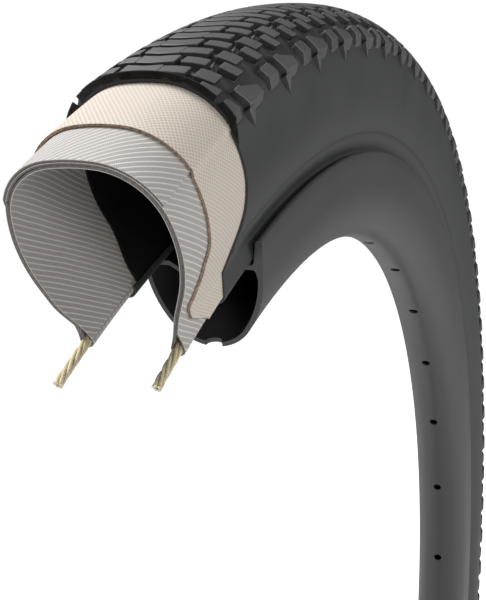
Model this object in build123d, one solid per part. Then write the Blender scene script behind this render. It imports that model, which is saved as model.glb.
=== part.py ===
"""Tubeless bicycle tire seated on its rim, cut away in steps at one end.

The wheel's axle is the Y axis, the wheel's centre is the origin and +Z is up.
A place round the wheel is an angle from +X towards +Z. One sector of the wheel
is missing. Its front face, at the top, is cut back in steps, so that each layer
of the tire shows: rim, rubber, protection fabric, casing and bead cores.
Every ring is a half-section in the X-Y plane, where X is the radius, turned
about Y. All sizes are in millimetres and degrees.
"""
import os
from math import acos, atan2, cos, degrees, hypot, radians, sin

from build123d import *

# ---- driving dimensions: the ring and its cuts -------------------------------
GAP_END = 150.0            # far side of the missing sector, one flat cut
RIM_CUT = 109.41           # front ends of each layer, at the near side
RUBBER_CUT = 111.7
LINER_CUT = 112.0
FILLER_CUT = 113.0
PROTECTION_CUT = 115.05
CASING_CUT = 117.13
BEAD_CUT_RIGHT = 118.9     # the right bead is the one at -Y
BEAD_CUT_LEFT = 119.3

# ---- driving dimensions: the casing's inner face ------------------------------
CROWN_RADIUS = 358.2       # from the axle to the inside of the casing's crown
CROWN_ARC, CROWN_TURN = 39.9, 7.3          # radius and turn of each arc, from
SHOULDER_ARC, SHOULDER_TURN = 14.1, 69.0   # the crown down to the flank
SIDE_ARC, SIDE_TURN = 29.5, 35.9
BEAD_RADIUS = 313.0        # from the axle to the bead core's centre

# ---- driving dimensions: layers -----------------------------------------------
PLY = 0.65                 # casing fabric, protection fabric and skim gap
PROTECTION = 0.65
SKIM = 0.05
LINER = 0.45
BEAD_CORE_R = 1.15
PLY_EDGE = 65.0            # slope at which a turned-up ply ends on the shoulder
PLY_STEP = 6.0             # slope over which the layers above step down
FILLER_START = 11.5        # distance down the flank where the turn-up leaves it
FABRIC_FOOT = 115.0        # place round the bead core where the protection ends
SIDE_RUBBER = 0.6          # sidewall rubber, thinner towards the bead
BEAD_RUBBER = 0.4
EDGE_RUBBER = 0.5          # where the tread meets the sidewalls
SWELL_EDGE = 80.0          # slope from which the sidewall thickens up to there
RUBBER_THIN = 8.5          # distance down the flank where it is thinnest
FOOT_RUBBER = 0.6          # rubber under the bead, between it and the rim's seat
TREAD = 2.7                # tread base and knobs together
KNOB_EDGE = 66.0           # slope at the outer edge of the shoulder knobs
TREAD_EDGE = 69.0          # slope at which the tread meets the sidewalls
STRIP_EDGE = 45.0          # slope between the crown strip and the side strips
HAIR = 0.04                # between the strips, which keep the air chamber open
SEAM = 1.0                 # slope between the tread's foot and the sidewall's top

# ---- driving dimensions: rim ---------------------------------------------------
RIM_APEX = 285.5           # smallest radius of the rim, at its centre
APEX_ARC, APEX_TURN = 12.6, 54.0
WALL_ARC, WALL_TURN = 30.9, 30.7
RIM_WALL = 1.3
HOOK_RADIUS = 317.0        # top of the rim's edge
HOOK_OUTER_Y = 16.85
HOOK_INNER_Y = 15.25
SEAT_RADIUS = 310.2        # where the tape and the bead's foot rest
SEAT_INNER_Y = 8.4
SEAT_OUTER_Y = 14.0
CHANNEL_RADIUS = 306.4     # floor of the centre channel
CHANNEL_HALF_WIDTH = 3.4
BED_WALL = 1.25
TAPE = 0.12

# ---- driving dimensions: spoke and valve holes ----------------------------------
SPOKE_HOLES = 32
SPOKE_HOLE_R = 2.3
ACCESS_HOLE_R = 4.0
VALVE_HOLE_R = 3.3
FIRST_SPOKE = RIM_CUT      # the front cut passes through a spoke hole
VALVE_STEP = 17.5          # the valve stands midway between two spoke holes

# ---- driving dimensions: valve --------------------------------------------------
STEM_R = 3.0
STEM_LENGTH = 44.0         # below the rim's inner face
STEM_BORE_R = 1.5
FLANGE_R = 4.2
FLANGE = 1.2
BASE_SEAL_R, BASE_SEAL_TIP_R = 4.8, 3.4
BASE_SEAL = 2.0
CORE_SEAT_R = 2.1
CORE_R = 2.05
CORE_SEAT_DEPTH = 14.0
PIN_R = 0.75
PIN_CLEARANCE = 0.06
PIN_TRAVEL = 2.0
FINGER_NUT_R = 1.9
FINGER_NUT_LENGTH = 2.2
LOCK_NUT_R = 6.0
LOCK_NUT_LENGTH = 5.0
THREAD_CLEARANCE = 0.06
O_RING_R = 1.0
CAP_R = 4.0
CAP_LENGTH = 18.5

FLANK = CROWN_TURN + SHOULDER_TURN + SIDE_TURN     # the straight flank's slope


# ---- the casing's profile --------------------------------------------------------
def normal(slope):
    """Outward direction (r, y) where the profile slopes this many degrees."""
    return cos(radians(slope)), sin(radians(slope))


def arc_chain():
    """The profile's arcs as (start slope, end slope, centre r, centre y, radius)."""
    r, y, slope, arcs = CROWN_RADIUS, 0.0, 0.0, []
    for radius, turn in ((CROWN_ARC, CROWN_TURN), (SHOULDER_ARC, SHOULDER_TURN), (SIDE_ARC, SIDE_TURN)):
        nr, ny = normal(slope)
        centre_r, centre_y = r - radius * nr, y - radius * ny
        arcs.append((slope, slope + turn, centre_r, centre_y, radius))
        slope += turn
        nr, ny = normal(slope)
        r, y = centre_r + radius * nr, centre_y + radius * ny
    return arcs


ARCS = arc_chain()


def place(slope, lift, down=0.0):
    """Point (r, y) at this slope, lift outside the profile and down its flank."""
    side = 1 if slope >= 0 else -1
    size = min(abs(slope), FLANK)
    for start, end, centre_r, centre_y, radius in ARCS:
        if size <= end + 1e-9:
            break
    nr, ny = normal(size)
    r = centre_r + (radius + lift) * nr - down * ny
    y = centre_y + (radius + lift) * ny + down * nr
    return r, side * y


def skin(first, last, lift):
    """Arcs along the profile between two slopes, at one height above it."""
    rising = last > first
    low, high = min(first, last), max(first, last)
    spans = []
    for start, end, *_ in ARCS:
        for a, b in ((start, end), (-end, -start)):
            a, b = max(a, low), min(b, high)
            if b - a > 1e-6:
                spans.append((a, b))
    edges = []
    for a, b in sorted(set(spans), reverse=not rising):
        a, b = (a, b) if rising else (b, a)
        edges.append(ThreePointArc(place(a, lift), place((a + b) / 2, lift), place(b, lift)))
    return edges


def outline(*pieces):
    """Closed face from edges in order, with straight lines across the gaps."""
    edges = []
    for piece in pieces:
        for edge in piece if isinstance(piece, list) else [piece]:
            if edges and (edges[-1] @ 1 - edge @ 0).length > 1e-4:
                edges.append(Line(edges[-1] @ 1, edge @ 0))
            edges.append(edge)
    if (edges[-1] @ 1 - edges[0] @ 0).length > 1e-4:
        edges.append(Line(edges[-1] @ 1, edges[0] @ 0))
    return make_face(Wire(edges))


def ring(face, front, back=GAP_END):
    """Turn a half-section about the axle, from the front cut round to the gap."""
    return revolve(face.rotate(Axis.Y, -front), Axis.Y, front - (back - 360))


def parted(face, *lines_of_cut):
    """The section in separate strips, a hair apart across each (place, slope, reach)."""
    for (r, y), slope, reach in lines_of_cut:
        face -= Pos(r, y, 0) * Rot(0, 0, slope) * Rectangle(reach, HAIR)
    return face


def flip(face):
    """The same half-section on the other side of the wheel."""
    return face.mirror(Plane.XZ)


# ---- bead: where it lies and how the ply leaves it ---------------------------------
def bead_centre():
    """Bead core's centre, one ply outside the flank, and its distance down it."""
    lift = PLY + SKIM + BEAD_CORE_R
    top_r, _ = place(FLANK, lift)
    down = (top_r - BEAD_RADIUS) / normal(FLANK)[1]
    return place(FLANK, lift, down), down


(BEAD_R, BEAD_Y), BEAD_DOWN = bead_centre()


def round_bead(radius, angle):
    """Point on a circle round the bead core; 0 is +r and 90 is +y."""
    return BEAD_R + radius * cos(radians(angle)), BEAD_Y + radius * sin(radians(angle))


def leave_bead(radius, target):
    """Angle on that circle where a line to the target leaves it, on the outside."""
    dr, dy = target[0] - BEAD_R, target[1] - BEAD_Y
    return degrees(atan2(dy, dr)) + degrees(acos(radius / hypot(dr, dy)))


def wrap(radius, first, last):
    """Arc round the bead core between two angles."""
    middle = (first + last) / 2
    return ThreePointArc(round_bead(radius, first), round_bead(radius, middle), round_bead(radius, last))


INSIDE = FLANK + 180       # the flank's inward direction, seen from the bead core
TURN_IN = BEAD_CORE_R + SKIM
TURN_OUT = TURN_IN + PLY


def mirrored(edges):
    """The same edges on the other side of the wheel, run in the same order."""
    return [edge.mirror(Plane.XZ) for edge in edges]


def reversed_path(edges):
    """The same edges run backwards."""
    return [ThreePointArc(e @ 1, e @ 0.5, e @ 0) if e.geom_type == GeomType.CIRCLE
            else Line(e @ 1, e @ 0) for e in reversed(edges)]


def turn_up(radius, lift, inside_lift):
    """Path down the flank, round the bead core and up to the flank again."""
    start = place(FLANK, inside_lift)
    target = place(FLANK, lift, FILLER_START)
    away = leave_bead(radius, target)
    return [Line(start, round_bead(radius, INSIDE)),
            wrap(radius, INSIDE, away),
            Line(round_bead(radius, away), target),
            Line(target, place(FLANK, lift))]


# ---- layers ---------------------------------------------------------------------
def casing_section():
    """One sheet: crown, down to each bead, round it and back over the crown."""
    low, middle, high = PLY + SKIM, 2 * (PLY + SKIM), 3 * PLY + 2 * SKIM
    step = PLY_EDGE + PLY_STEP
    # inner faces, seen along the sheet from the right-hand ply end to the left
    right_in = mirrored(reversed_path(turn_up(TURN_IN, low, PLY)))
    right_out = mirrored(reversed_path(turn_up(TURN_OUT, low + PLY, 0)))
    left_in = turn_up(TURN_IN, low, PLY)
    left_out = turn_up(TURN_OUT, low + PLY, 0)
    # the right-hand bead's ply ends on the left shoulder, under the other one
    inner_side = (skin(PLY_EDGE, -FLANK, low) + right_in + skin(-FLANK, FLANK, PLY) + left_in
                  + skin(FLANK, step, low) + skin(PLY_EDGE, -PLY_EDGE, middle))
    outer_side = (skin(PLY_EDGE, -FLANK, low + PLY) + right_out + skin(-FLANK, FLANK, 0) + left_out
                  + skin(FLANK, step, low + PLY) + skin(PLY_EDGE, -PLY_EDGE, high))
    sheet = outline(inner_side, reversed_path(outer_side))
    return parted(sheet, *[(place(edge, high / 2), edge, 3 * high) for edge in (-STRIP_EDGE, STRIP_EDGE)])


def liner_section():
    """Airtight rubber film inside the casing, from bead to bead."""
    end = BEAD_DOWN - SKIM
    side = [Line(place(FLANK, -SKIM), place(FLANK, -SKIM, end))]
    inside = [Line(place(FLANK, -SKIM - LINER, end), place(FLANK, -SKIM - LINER))]
    return outline(mirrored(reversed_path(side)), skin(-FLANK, FLANK, -SKIM), side,
                   inside, skin(FLANK, -FLANK, -SKIM - LINER), mirrored(reversed_path(inside)))


def fabric_top(lift):
    """Path over the crown and down to the flank, stepping off the ply ends."""
    side = 2 * (PLY + SKIM) + lift
    crown = side + PLY + SKIM
    step = PLY_EDGE + PLY_STEP
    return (skin(-FLANK, -step, side) + skin(-PLY_EDGE, PLY_EDGE, crown) + skin(step, FLANK, side))


def foot(lift):
    """Path from the flank down the turn-up and round the outer side of the bead."""
    flank_lift = 2 * (PLY + SKIM) + lift
    radius = TURN_OUT + SKIM + lift
    target = place(FLANK, flank_lift, FILLER_START)
    away = leave_bead(radius, target)
    return [Line(place(FLANK, flank_lift), target),
            Line(target, round_bead(radius, away)),
            wrap(radius, away, FABRIC_FOOT)]


def protection_section():
    """Protection fabric over the casing, down to the outer side of each bead."""
    outside, inside = foot(PROTECTION), reversed_path(foot(0))
    return outline(mirrored(reversed_path(outside)), fabric_top(PROTECTION), outside,
                   inside, reversed_path(fabric_top(0)), mirrored(reversed_path(inside)))


FABRIC_SIDE = 2 * (PLY + SKIM) + PROTECTION + SKIM     # outside of the fabric
FABRIC_CROWN = FABRIC_SIDE + PLY + SKIM


def sidewall_section():
    """Left sidewall rubber, from the tread's foot down and round under the bead."""
    top, step = TREAD_EDGE + SEAM, PLY_EDGE + PLY_STEP
    over_ply = TURN_OUT + SKIM
    side_radius = over_ply + PROTECTION + SKIM + BEAD_RUBBER
    under = FABRIC_FOOT + 65
    waist = place(FLANK, FABRIC_SIDE + BEAD_RUBBER, RUBBER_THIN)
    swell = place(FLANK, FABRIC_SIDE + SIDE_RUBBER)
    inner = skin(step, FLANK, FABRIC_SIDE) + foot(PROTECTION + SKIM)
    inner.append(Line(inner[-1] @ 1, round_bead(over_ply, FABRIC_FOOT + 4)))
    inner.append(wrap(over_ply, FABRIC_FOOT + 4, INSIDE))
    sole = wrap(over_ply + FOOT_RUBBER, INSIDE, under)
    heel = ThreePointArc(sole @ 1, round_bead(side_radius - 0.12, (under + FABRIC_FOOT) / 2),
                         round_bead(side_radius, FABRIC_FOOT - 15))
    outer = [sole, heel, Line(heel @ 1, waist), Line(waist, swell)]
    outer += skin(FLANK, SWELL_EDGE, FABRIC_SIDE + SIDE_RUBBER)
    outer.append(Line(outer[-1] @ 1, place(top, FABRIC_CROWN + EDGE_RUBBER)))
    return outline(Line(place(top, FABRIC_CROWN), place(step, FABRIC_SIDE)), inner, outer)


def tread_section():
    """Tread rubber over the crown, as one band as high as its knobs."""
    edge = place(TREAD_EDGE, FABRIC_CROWN + EDGE_RUBBER)
    under = skin(TREAD_EDGE, -TREAD_EDGE, FABRIC_CROWN)
    over = skin(-KNOB_EDGE, KNOB_EDGE, FABRIC_CROWN + TREAD)
    band = outline(Line((edge[0], -edge[1]), over[0] @ 0), over, Line(over[-1] @ 1, edge), under)
    middle = FABRIC_CROWN + TREAD / 2
    return parted(band, *[(place(edge, middle), edge, 3 * TREAD) for edge in (-STRIP_EDGE, STRIP_EDGE)])


def filler_section():
    """Left rubber filler above the bead core, between the ply and its turn-up."""
    lift = PLY + SKIM
    flank_side = [place(FLANK, lift, down) for down in (FILLER_START + 1.4, BEAD_DOWN - BEAD_CORE_R - 0.6)]
    target = place(FLANK, lift, FILLER_START)
    base = round_bead(TURN_IN, leave_bead(TURN_IN, target))
    gap = Vector(*normal(FLANK)) * SKIM
    slant = Line(target, base)
    return outline(Line(*flank_side), Line(slant @ 0.86 - gap, slant @ 0.22 - gap))


def core_section():
    """Left bead core's round section."""
    return Pos(BEAD_R, BEAD_Y, 0) * Circle(BEAD_CORE_R)


# ---- rim ------------------------------------------------------------------------
def wall_arcs(inset):
    """Outer wall from the rim's apex up to the side, inset towards the hollow."""
    heading = APEX_TURN
    apex_r = RIM_APEX + APEX_ARC
    radius = APEX_ARC - inset
    def apex_point(turn):
        return apex_r - radius * cos(radians(turn)), radius * sin(radians(turn))
    full_r, full_y = (apex_r - APEX_ARC * cos(radians(heading)), APEX_ARC * sin(radians(heading)))
    centre = (full_r + WALL_ARC * cos(radians(heading)), full_y - WALL_ARC * sin(radians(heading)))
    def wall_point(turn):
        angle = radians(heading + turn)
        size = WALL_ARC - inset
        return centre[0] - size * cos(angle), centre[1] + size * sin(angle)
    return [ThreePointArc(apex_point(0), apex_point(heading / 2), apex_point(heading)),
            ThreePointArc(wall_point(0), wall_point(WALL_TURN / 2), wall_point(WALL_TURN))]


def bed_points(rise=0.0):
    """Half of the tire bed's top line, from the centre channel to the hook."""
    return [(CHANNEL_RADIUS + rise, 0), (CHANNEL_RADIUS + rise, CHANNEL_HALF_WIDTH),
            (SEAT_RADIUS + rise, SEAT_INNER_Y), (SEAT_RADIUS + rise, SEAT_OUTER_Y - 0.5)]


def lines(points):
    """Straight edges through these points."""
    return [Line(a, b) for a, b in zip(points, points[1:])]


def rim_section():
    """Hollow rim with its hooks, a solid wall all round one closed hollow."""
    outer = wall_arcs(0)
    hook_top = [(HOOK_RADIUS - 1.0, HOOK_OUTER_Y), (HOOK_RADIUS, HOOK_OUTER_Y - 0.7),
                (HOOK_RADIUS, HOOK_INNER_Y + 0.2), (HOOK_RADIUS - 0.7, HOOK_INNER_Y - 0.15),
                (SEAT_RADIUS + 0.6, SEAT_OUTER_Y)]
    bed = list(reversed(bed_points()))
    half = outer + [Line(outer[-1] @ 1, Vector(*hook_top[0]))] + lines(hook_top + bed)
    hollow = wall_arcs(RIM_WALL)
    roof_r = SEAT_RADIUS - BED_WALL
    roof = [(roof_r - 0.8, SEAT_OUTER_Y + 0.35), (roof_r, SEAT_OUTER_Y - 0.5),
            (roof_r, SEAT_INNER_Y + 0.4), (CHANNEL_RADIUS - BED_WALL, CHANNEL_HALF_WIDTH + 0.4),
            (CHANNEL_RADIUS - BED_WALL, 0)]
    hollow_half = hollow + [Line(hollow[-1] @ 1, Vector(*roof[0]))] + lines(roof)
    solid = outline(half, mirrored(reversed_path(half)))
    shell = solid - outline(hollow_half, mirrored(reversed_path(hollow_half)))
    bed_end = SEAT_OUTER_Y + 0.2
    return parted(shell, ((RIM_APEX, 0), 0, 4 * RIM_WALL), ((SEAT_RADIUS, -bed_end), 0, 5 * BED_WALL),
                  ((SEAT_RADIUS, bed_end), 0, 5 * BED_WALL))


def tape_section():
    """Airtight tape laid over the tire bed from seat to seat."""
    top = lines(bed_points(TAPE + SKIM))
    under = lines(bed_points(SKIM))
    return outline(mirrored(reversed_path(top)), top, reversed_path(under), mirrored(under))


def radial(angle, radius, shape):
    """Stand a shape built along +Z on the wheel, its +Z towards the axle."""
    return Pos(radius * cos(radians(angle)), 0, radius * sin(radians(angle))) * (
        Rot(0, -90 - angle, 0) * shape)


def spoke_angles():
    """Angles of the spoke holes on the stretch of rim that is there."""
    pitch = 360 / SPOKE_HOLES
    return [FIRST_SPOKE - pitch * k for k in range(SPOKE_HOLES)
            if FIRST_SPOKE - pitch * k > GAP_END - 360 + 1]


VALVE_ANGLE = FIRST_SPOKE - 360 / SPOKE_HOLES * VALVE_STEP


def drill(angle, radius, depth, hole_r):
    """A round cutter from this radius inward."""
    return radial(angle, radius, Cylinder(hole_r, depth, align=(Align.CENTER, Align.CENTER, Align.MIN)))


def rim_shell():
    """The rim with its spoke holes, access holes and valve hole."""
    cutters = []
    for angle in spoke_angles():
        cutters.append(drill(angle, RIM_APEX + 6, 12, SPOKE_HOLE_R))
        cutters.append(drill(angle, SEAT_RADIUS + 2, 8, ACCESS_HOLE_R))
    cutters.append(drill(VALVE_ANGLE, SEAT_RADIUS + 2, 40, VALVE_HOLE_R))
    return ring(rim_section(), RIM_CUT) - cutters


def rim_tape():
    """The tape, pierced by the valve."""
    return ring(tape_section(), RIM_CUT - 0.2) - drill(VALVE_ANGLE, SEAT_RADIUS, 12, VALVE_HOLE_R)


# ---- valve, built along +Z with 0 at the rim's inner face -------------------------
def tube(outer, inner, low, high):
    """A plain ring between two heights."""
    solid = Cylinder(outer, high - low) - Cylinder(inner, high - low + 1)
    return Pos(0, 0, (low + high) / 2) * solid


def rod(radius, low, high):
    """A plain rod between two heights."""
    return Pos(0, 0, (low + high) / 2) * Cylinder(radius, high - low)


BED_HEIGHT = RIM_APEX - CHANNEL_RADIUS      # negative: the bed lies outside the inner face
BASE_TOP = BED_HEIGHT - TAPE - SKIM
CORE_FACE = STEM_LENGTH + 3.0               # the core's end, above the stem's
O_RING_TOP = SKIM + 2 * O_RING_R
NUT_FOOT = O_RING_TOP + 0.1
PIN_END = CORE_FACE + PIN_TRAVEL + 0.3 + FINGER_NUT_LENGTH + 0.8
CAP_FOOT = STEM_LENGTH - 8.0


def valve_stem():
    """Stem with a flanged foot, a through bore and a wider seat for the core."""
    foot_end = BASE_TOP - BASE_SEAL - FLANGE
    body = rod(STEM_R, foot_end, STEM_LENGTH) + rod(FLANGE_R, foot_end, foot_end + FLANGE)
    body -= rod(STEM_BORE_R, foot_end - 1, STEM_LENGTH + 1)
    return body - rod(CORE_SEAT_R, STEM_LENGTH - CORE_SEAT_DEPTH, STEM_LENGTH + 1)


def valve_base_seal():
    """Rubber cone under the stem's flange, which seals it to the tire bed."""
    seal = Pos(0, 0, BASE_TOP - BASE_SEAL / 2) * Cone(BASE_SEAL_R, BASE_SEAL_TIP_R, BASE_SEAL)
    return seal - rod(STEM_R + 0.03, BASE_TOP - BASE_SEAL - 1, BASE_TOP + 1)


def valve_o_ring():
    """Rubber ring between the rim's inner face and the lock nut."""
    return Pos(0, 0, SKIM + O_RING_R) * Torus(STEM_R + O_RING_R + SKIM, O_RING_R)


def valve_lock_nut():
    """Round knurled nut that draws the valve tight against the rim."""
    nut = tube(LOCK_NUT_R, STEM_R + THREAD_CLEARANCE, NUT_FOOT, NUT_FOOT + LOCK_NUT_LENGTH)
    nut = chamfer(nut.edges().filter_by(GeomType.CIRCLE).group_by(Axis.Z)[-1].sort_by(SortBy.RADIUS)[-1], 0.8)
    grips = 18
    groove = rod(0.45, NUT_FOOT - 1, NUT_FOOT + LOCK_NUT_LENGTH + 1)
    cutters = [Rot(0, 0, 360 / grips * k) * Pos(LOCK_NUT_R + 0.15, 0, 0) * groove for k in range(grips)]
    return nut - cutters


def valve_core():
    """Core screwed into the stem, with a bore for its pin and two flats."""
    low = STEM_LENGTH - CORE_SEAT_DEPTH + 0.3
    core = rod(CORE_R, low, CORE_FACE)
    flats = Pos(0, 0, CORE_FACE - 0.7) * Box(6, 6, 1.6) - Pos(0, 0, CORE_FACE - 0.7) * Box(3.4, 6, 1.6)
    core -= flats
    core -= rod(PIN_R + PIN_CLEARANCE, low - 1, CORE_FACE + 1)
    return core


def valve_core_pin():
    """Pin that slides in the core, with its seal plate at the inner end."""
    low = STEM_LENGTH - CORE_SEAT_DEPTH
    pin = rod(PIN_R, low - 1.2, PIN_END)
    return pin + rod(1.25, low - 2.0, low - 0.9)


def valve_core_seal():
    """Rubber washer between the pin's plate and the core's inner end."""
    low = STEM_LENGTH - CORE_SEAT_DEPTH
    return tube(1.3, PIN_R + SKIM, low - 0.85, low + 0.25)


def valve_finger_nut():
    """Small knurled nut on the pin, which locks the valve shut."""
    foot_z = CORE_FACE + PIN_TRAVEL + 0.3
    nut = tube(FINGER_NUT_R, PIN_R + THREAD_CLEARANCE, foot_z, foot_z + FINGER_NUT_LENGTH)
    grips = 12
    groove = rod(0.25, foot_z - 1, foot_z + FINGER_NUT_LENGTH + 1)
    cutters = [Rot(0, 0, 360 / grips * k) * Pos(FINGER_NUT_R + 0.08, 0, 0) * groove for k in range(grips)]
    return nut - cutters


def valve_cap():
    """Plastic cap over the stem's end, open at its foot."""
    top = CAP_FOOT + CAP_LENGTH
    cap = rod(CAP_R, CAP_FOOT, top)
    cap = fillet(cap.edges().group_by(Axis.Z)[-1], 1.6)
    cap -= rod(STEM_R + 0.06, CAP_FOOT - 1, STEM_LENGTH + 0.5)
    cap -= rod(2.5, STEM_LENGTH, top - 1.2)
    return cap


def on_wheel(shape):
    """Move a valve piece from its own axis to its place on the rim."""
    return radial(VALVE_ANGLE, RIM_APEX, shape)


# ---- parts ----------------------------------------------------------------------
def parts():
    """Every piece by its name."""
    return {
        "rim_shell": rim_shell(),
        "rim_tape": rim_tape(),
        "inner_liner": ring(liner_section(), LINER_CUT),
        "casing_ply": ring(casing_section(), CASING_CUT),
        "protection_layer": ring(protection_section(), PROTECTION_CUT),
        "bead_filler_left": ring(filler_section(), FILLER_CUT),
        "bead_filler_right": ring(flip(filler_section()), FILLER_CUT),
        "bead_core_left": ring(core_section(), BEAD_CUT_LEFT),
        "bead_core_right": ring(flip(core_section()), BEAD_CUT_RIGHT),
        "sidewall_left": ring(sidewall_section(), RUBBER_CUT),
        "sidewall_right": ring(flip(sidewall_section()), RUBBER_CUT),
        "tread_cap": ring(tread_section(), RUBBER_CUT),
        "valve_stem": on_wheel(valve_stem()),
        "valve_base_seal": on_wheel(valve_base_seal()),
        "valve_o_ring": on_wheel(valve_o_ring()),
        "valve_lock_nut": on_wheel(valve_lock_nut()),
        "valve_core": on_wheel(valve_core()),
        "valve_core_pin": on_wheel(valve_core_pin()),
        "valve_core_seal": on_wheel(valve_core_seal()),
        "valve_finger_nut": on_wheel(valve_finger_nut()),
        "valve_cap": on_wheel(valve_cap()),
    }


os.makedirs("parts", exist_ok=True)
for name, shape in parts().items():
    export_step(shape, f"parts/{name}.step")
    print(f"{name:20s} {shape.volume / 1000:9.2f} cm3")
print(f"bead core at r {BEAD_R:.2f}, y {BEAD_Y:.2f}; valve at {VALVE_ANGLE:.2f} degrees")
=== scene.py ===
"""The finished look of a bicycle tire cut away in steps on its rim.

The wheel's axle is the Y axis and its centre is the origin. A place round the
wheel is an angle in degrees from +X towards +Z, and a place on a section is a
distance along the casing from the crown, with -Y negative, and a lift above
the casing's inner face. Lengths are millimetres until a mesh is made.
"""
from math import acos, atan2, cos, degrees, hypot, pi, radians, sin

import bpy
import numpy as np
from mathutils import Matrix, Vector


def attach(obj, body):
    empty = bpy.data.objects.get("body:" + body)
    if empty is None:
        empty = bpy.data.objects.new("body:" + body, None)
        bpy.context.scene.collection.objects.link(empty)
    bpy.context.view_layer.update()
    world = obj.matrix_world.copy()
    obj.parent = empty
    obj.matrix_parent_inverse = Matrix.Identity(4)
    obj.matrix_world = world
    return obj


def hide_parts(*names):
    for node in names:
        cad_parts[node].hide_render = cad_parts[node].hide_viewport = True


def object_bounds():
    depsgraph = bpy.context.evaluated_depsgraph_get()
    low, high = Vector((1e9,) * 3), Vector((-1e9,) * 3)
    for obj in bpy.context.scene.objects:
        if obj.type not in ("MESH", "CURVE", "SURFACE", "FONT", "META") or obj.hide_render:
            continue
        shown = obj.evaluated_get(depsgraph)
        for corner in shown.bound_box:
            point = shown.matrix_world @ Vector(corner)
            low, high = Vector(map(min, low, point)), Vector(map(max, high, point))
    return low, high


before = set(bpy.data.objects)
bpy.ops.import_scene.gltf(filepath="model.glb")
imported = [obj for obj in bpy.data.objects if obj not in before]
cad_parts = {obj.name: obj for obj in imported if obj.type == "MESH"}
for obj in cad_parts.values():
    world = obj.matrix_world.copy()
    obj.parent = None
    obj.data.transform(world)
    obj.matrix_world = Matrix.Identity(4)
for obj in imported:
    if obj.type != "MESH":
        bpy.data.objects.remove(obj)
CAD_BOX = [list(corner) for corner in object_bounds()]

MM = 0.001

# ---- the ring and the front end of each layer, in degrees --------------------------
BACK = 150.0 - 360.0
RIM_FRONT = 109.41
RUBBER_FRONT = 111.7
LINER_FRONT = 112.0
PROTECTION_FRONT = 115.05
CASING_FRONT = 117.13
CORD_FRONT = {-1: 118.9, 1: 119.3}

# ---- the casing's profile ----------------------------------------------------------
CROWN_RADIUS = 358.2
PROFILE_ARCS = ((39.9, 7.3), (14.1, 69.0), (29.5, 35.9))     # radius, turn in degrees
BEAD_RADIUS = 313.0
MEASURED_LIFT = 2.8          # distances along the section are measured at this lift
SPACING = 0.85               # between points along a section
NEAR_STRETCH = 5.0           # degrees behind a front end where the points lie closer
DOWN_COUNT = 17              # points down the inner ply's lower flank, before the cord
TURN_COUNT = 18              # steps round the cord
CLOTH_STEP, RUBBER_STEP, RIM_STEP = 3.0, 1.5, 1.25     # degrees between points round the wheel

# ---- layers ------------------------------------------------------------------------
PLY_PITCH = 0.70             # lift from one ply's face to the next one's
PLY = 0.52                   # thickness of the fabric that shows
PLY_GAP = 0.03
TURNED_PLY = 0.65            # the casing's thickness round the bead, with its gap
CASING_FALL = 0.45           # how far the casing's front edge falls back near each bead
CASING_PITCH = 1.3           # between the casing's cords
CORD_LEAN = 42.0             # of the cords, from straight round the wheel
PROTECTION = 0.62
SKIM = 0.05
LINER = 0.45
CORD_R = 1.15
PLY_EDGE = 65.0              # slope at which the turned-up ends stop
PLY_STEP = 6.0
FILLER_START = 11.5
FABRIC_FOOT = 98.0           # place round the cord where the beige fabric ends
FOOT_RUBBER = 0.6
FABRIC_SIDE = 2.10           # lift of the rubber's underside on the flanks
RUBBER_SIDE = 2.70           # lift of the sidewall's outside
RUBBER_BEAD = 2.50
THINNED = 8.5                # down the flank, to where the sidewall has thinned
CLOTH_RUBBER = 0.4           # rubber over the beige fabric beside the bead
RUN_OUT = 58.0               # slope where the tread's floor starts to run out
RING_LINE = 5.2              # down the flank, to the fine line above the rim
RING_BAND = 0.25             # height of the rounded band below it
GROOVE = 3.75                # lift of the tread's floor between the knobs
KNOB_TOP = 5.5
SEAM = 69.5                  # slope where the tread joins the sidewalls

# ---- tread pattern -----------------------------------------------------------------
PATTERN_LIFT = 5.4
PATTERN_RADIUS = 363.0
PITCHES = 172
PITCH = 360.0 / PITCHES      # degrees from one block to the next of its row
HALF_PITCH_MM = radians(PITCH / 2) * PATTERN_RADIUS
CHEVRON = 0.38               # how far a block slants back per millimetre outwards
PATTERN_START = 112.0
PATTERN_MM = radians(PATTERN_START + 1.5 - BACK) * PATTERN_RADIUS
BACK_GAP = 4.0               # plain stretch before the back cut
SLIVER = 0.004               # smallest face that is kept, in square millimetres

# ---- rim ---------------------------------------------------------------------------
RIM_APEX = 285.5
APEX_ARC, APEX_TURN = 12.6, 54.0
WALL_ARC, WALL_TURN = 30.9, 30.7
RIM_WALL = 1.3
RIM_SMOOTH = 32.0            # angle up to which the rim is shaded smooth
HOOK_RADIUS = 317.0
HOOK_OUTER_Y, HOOK_INNER_Y = 16.85, 15.25
SEAT_RADIUS, SEAT_INNER_Y, SEAT_OUTER_Y = 310.2, 8.4, 14.0
CHANNEL_RADIUS, CHANNEL_HALF_WIDTH = 306.4, 3.4
BED_WALL = 1.25
SPOKES = 32
SPOKE_HOLE_R, ACCESS_HOLE_R, VALVE_HOLE_R = 2.3, 4.0, 3.3
VALVE_ANGLE = RIM_FRONT - 360.0 / SPOKES * 17.5


# ====================================================================================
# The section
# ====================================================================================
def arc_chain():
    """The profile's arcs as (start slope, end slope, centre r, centre y, radius)."""
    r, y, slope, arcs = CROWN_RADIUS, 0.0, 0.0, []
    for radius, turn in PROFILE_ARCS:
        c, s = cos(radians(slope)), sin(radians(slope))
        centre = (r - radius * c, y - radius * s)
        arcs.append((slope, slope + turn, *centre, radius))
        slope += turn
        r = centre[0] + radius * cos(radians(slope))
        y = centre[1] + radius * sin(radians(slope))
    return arcs


ARCS = arc_chain()
FLANK = ARCS[-1][1]


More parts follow.
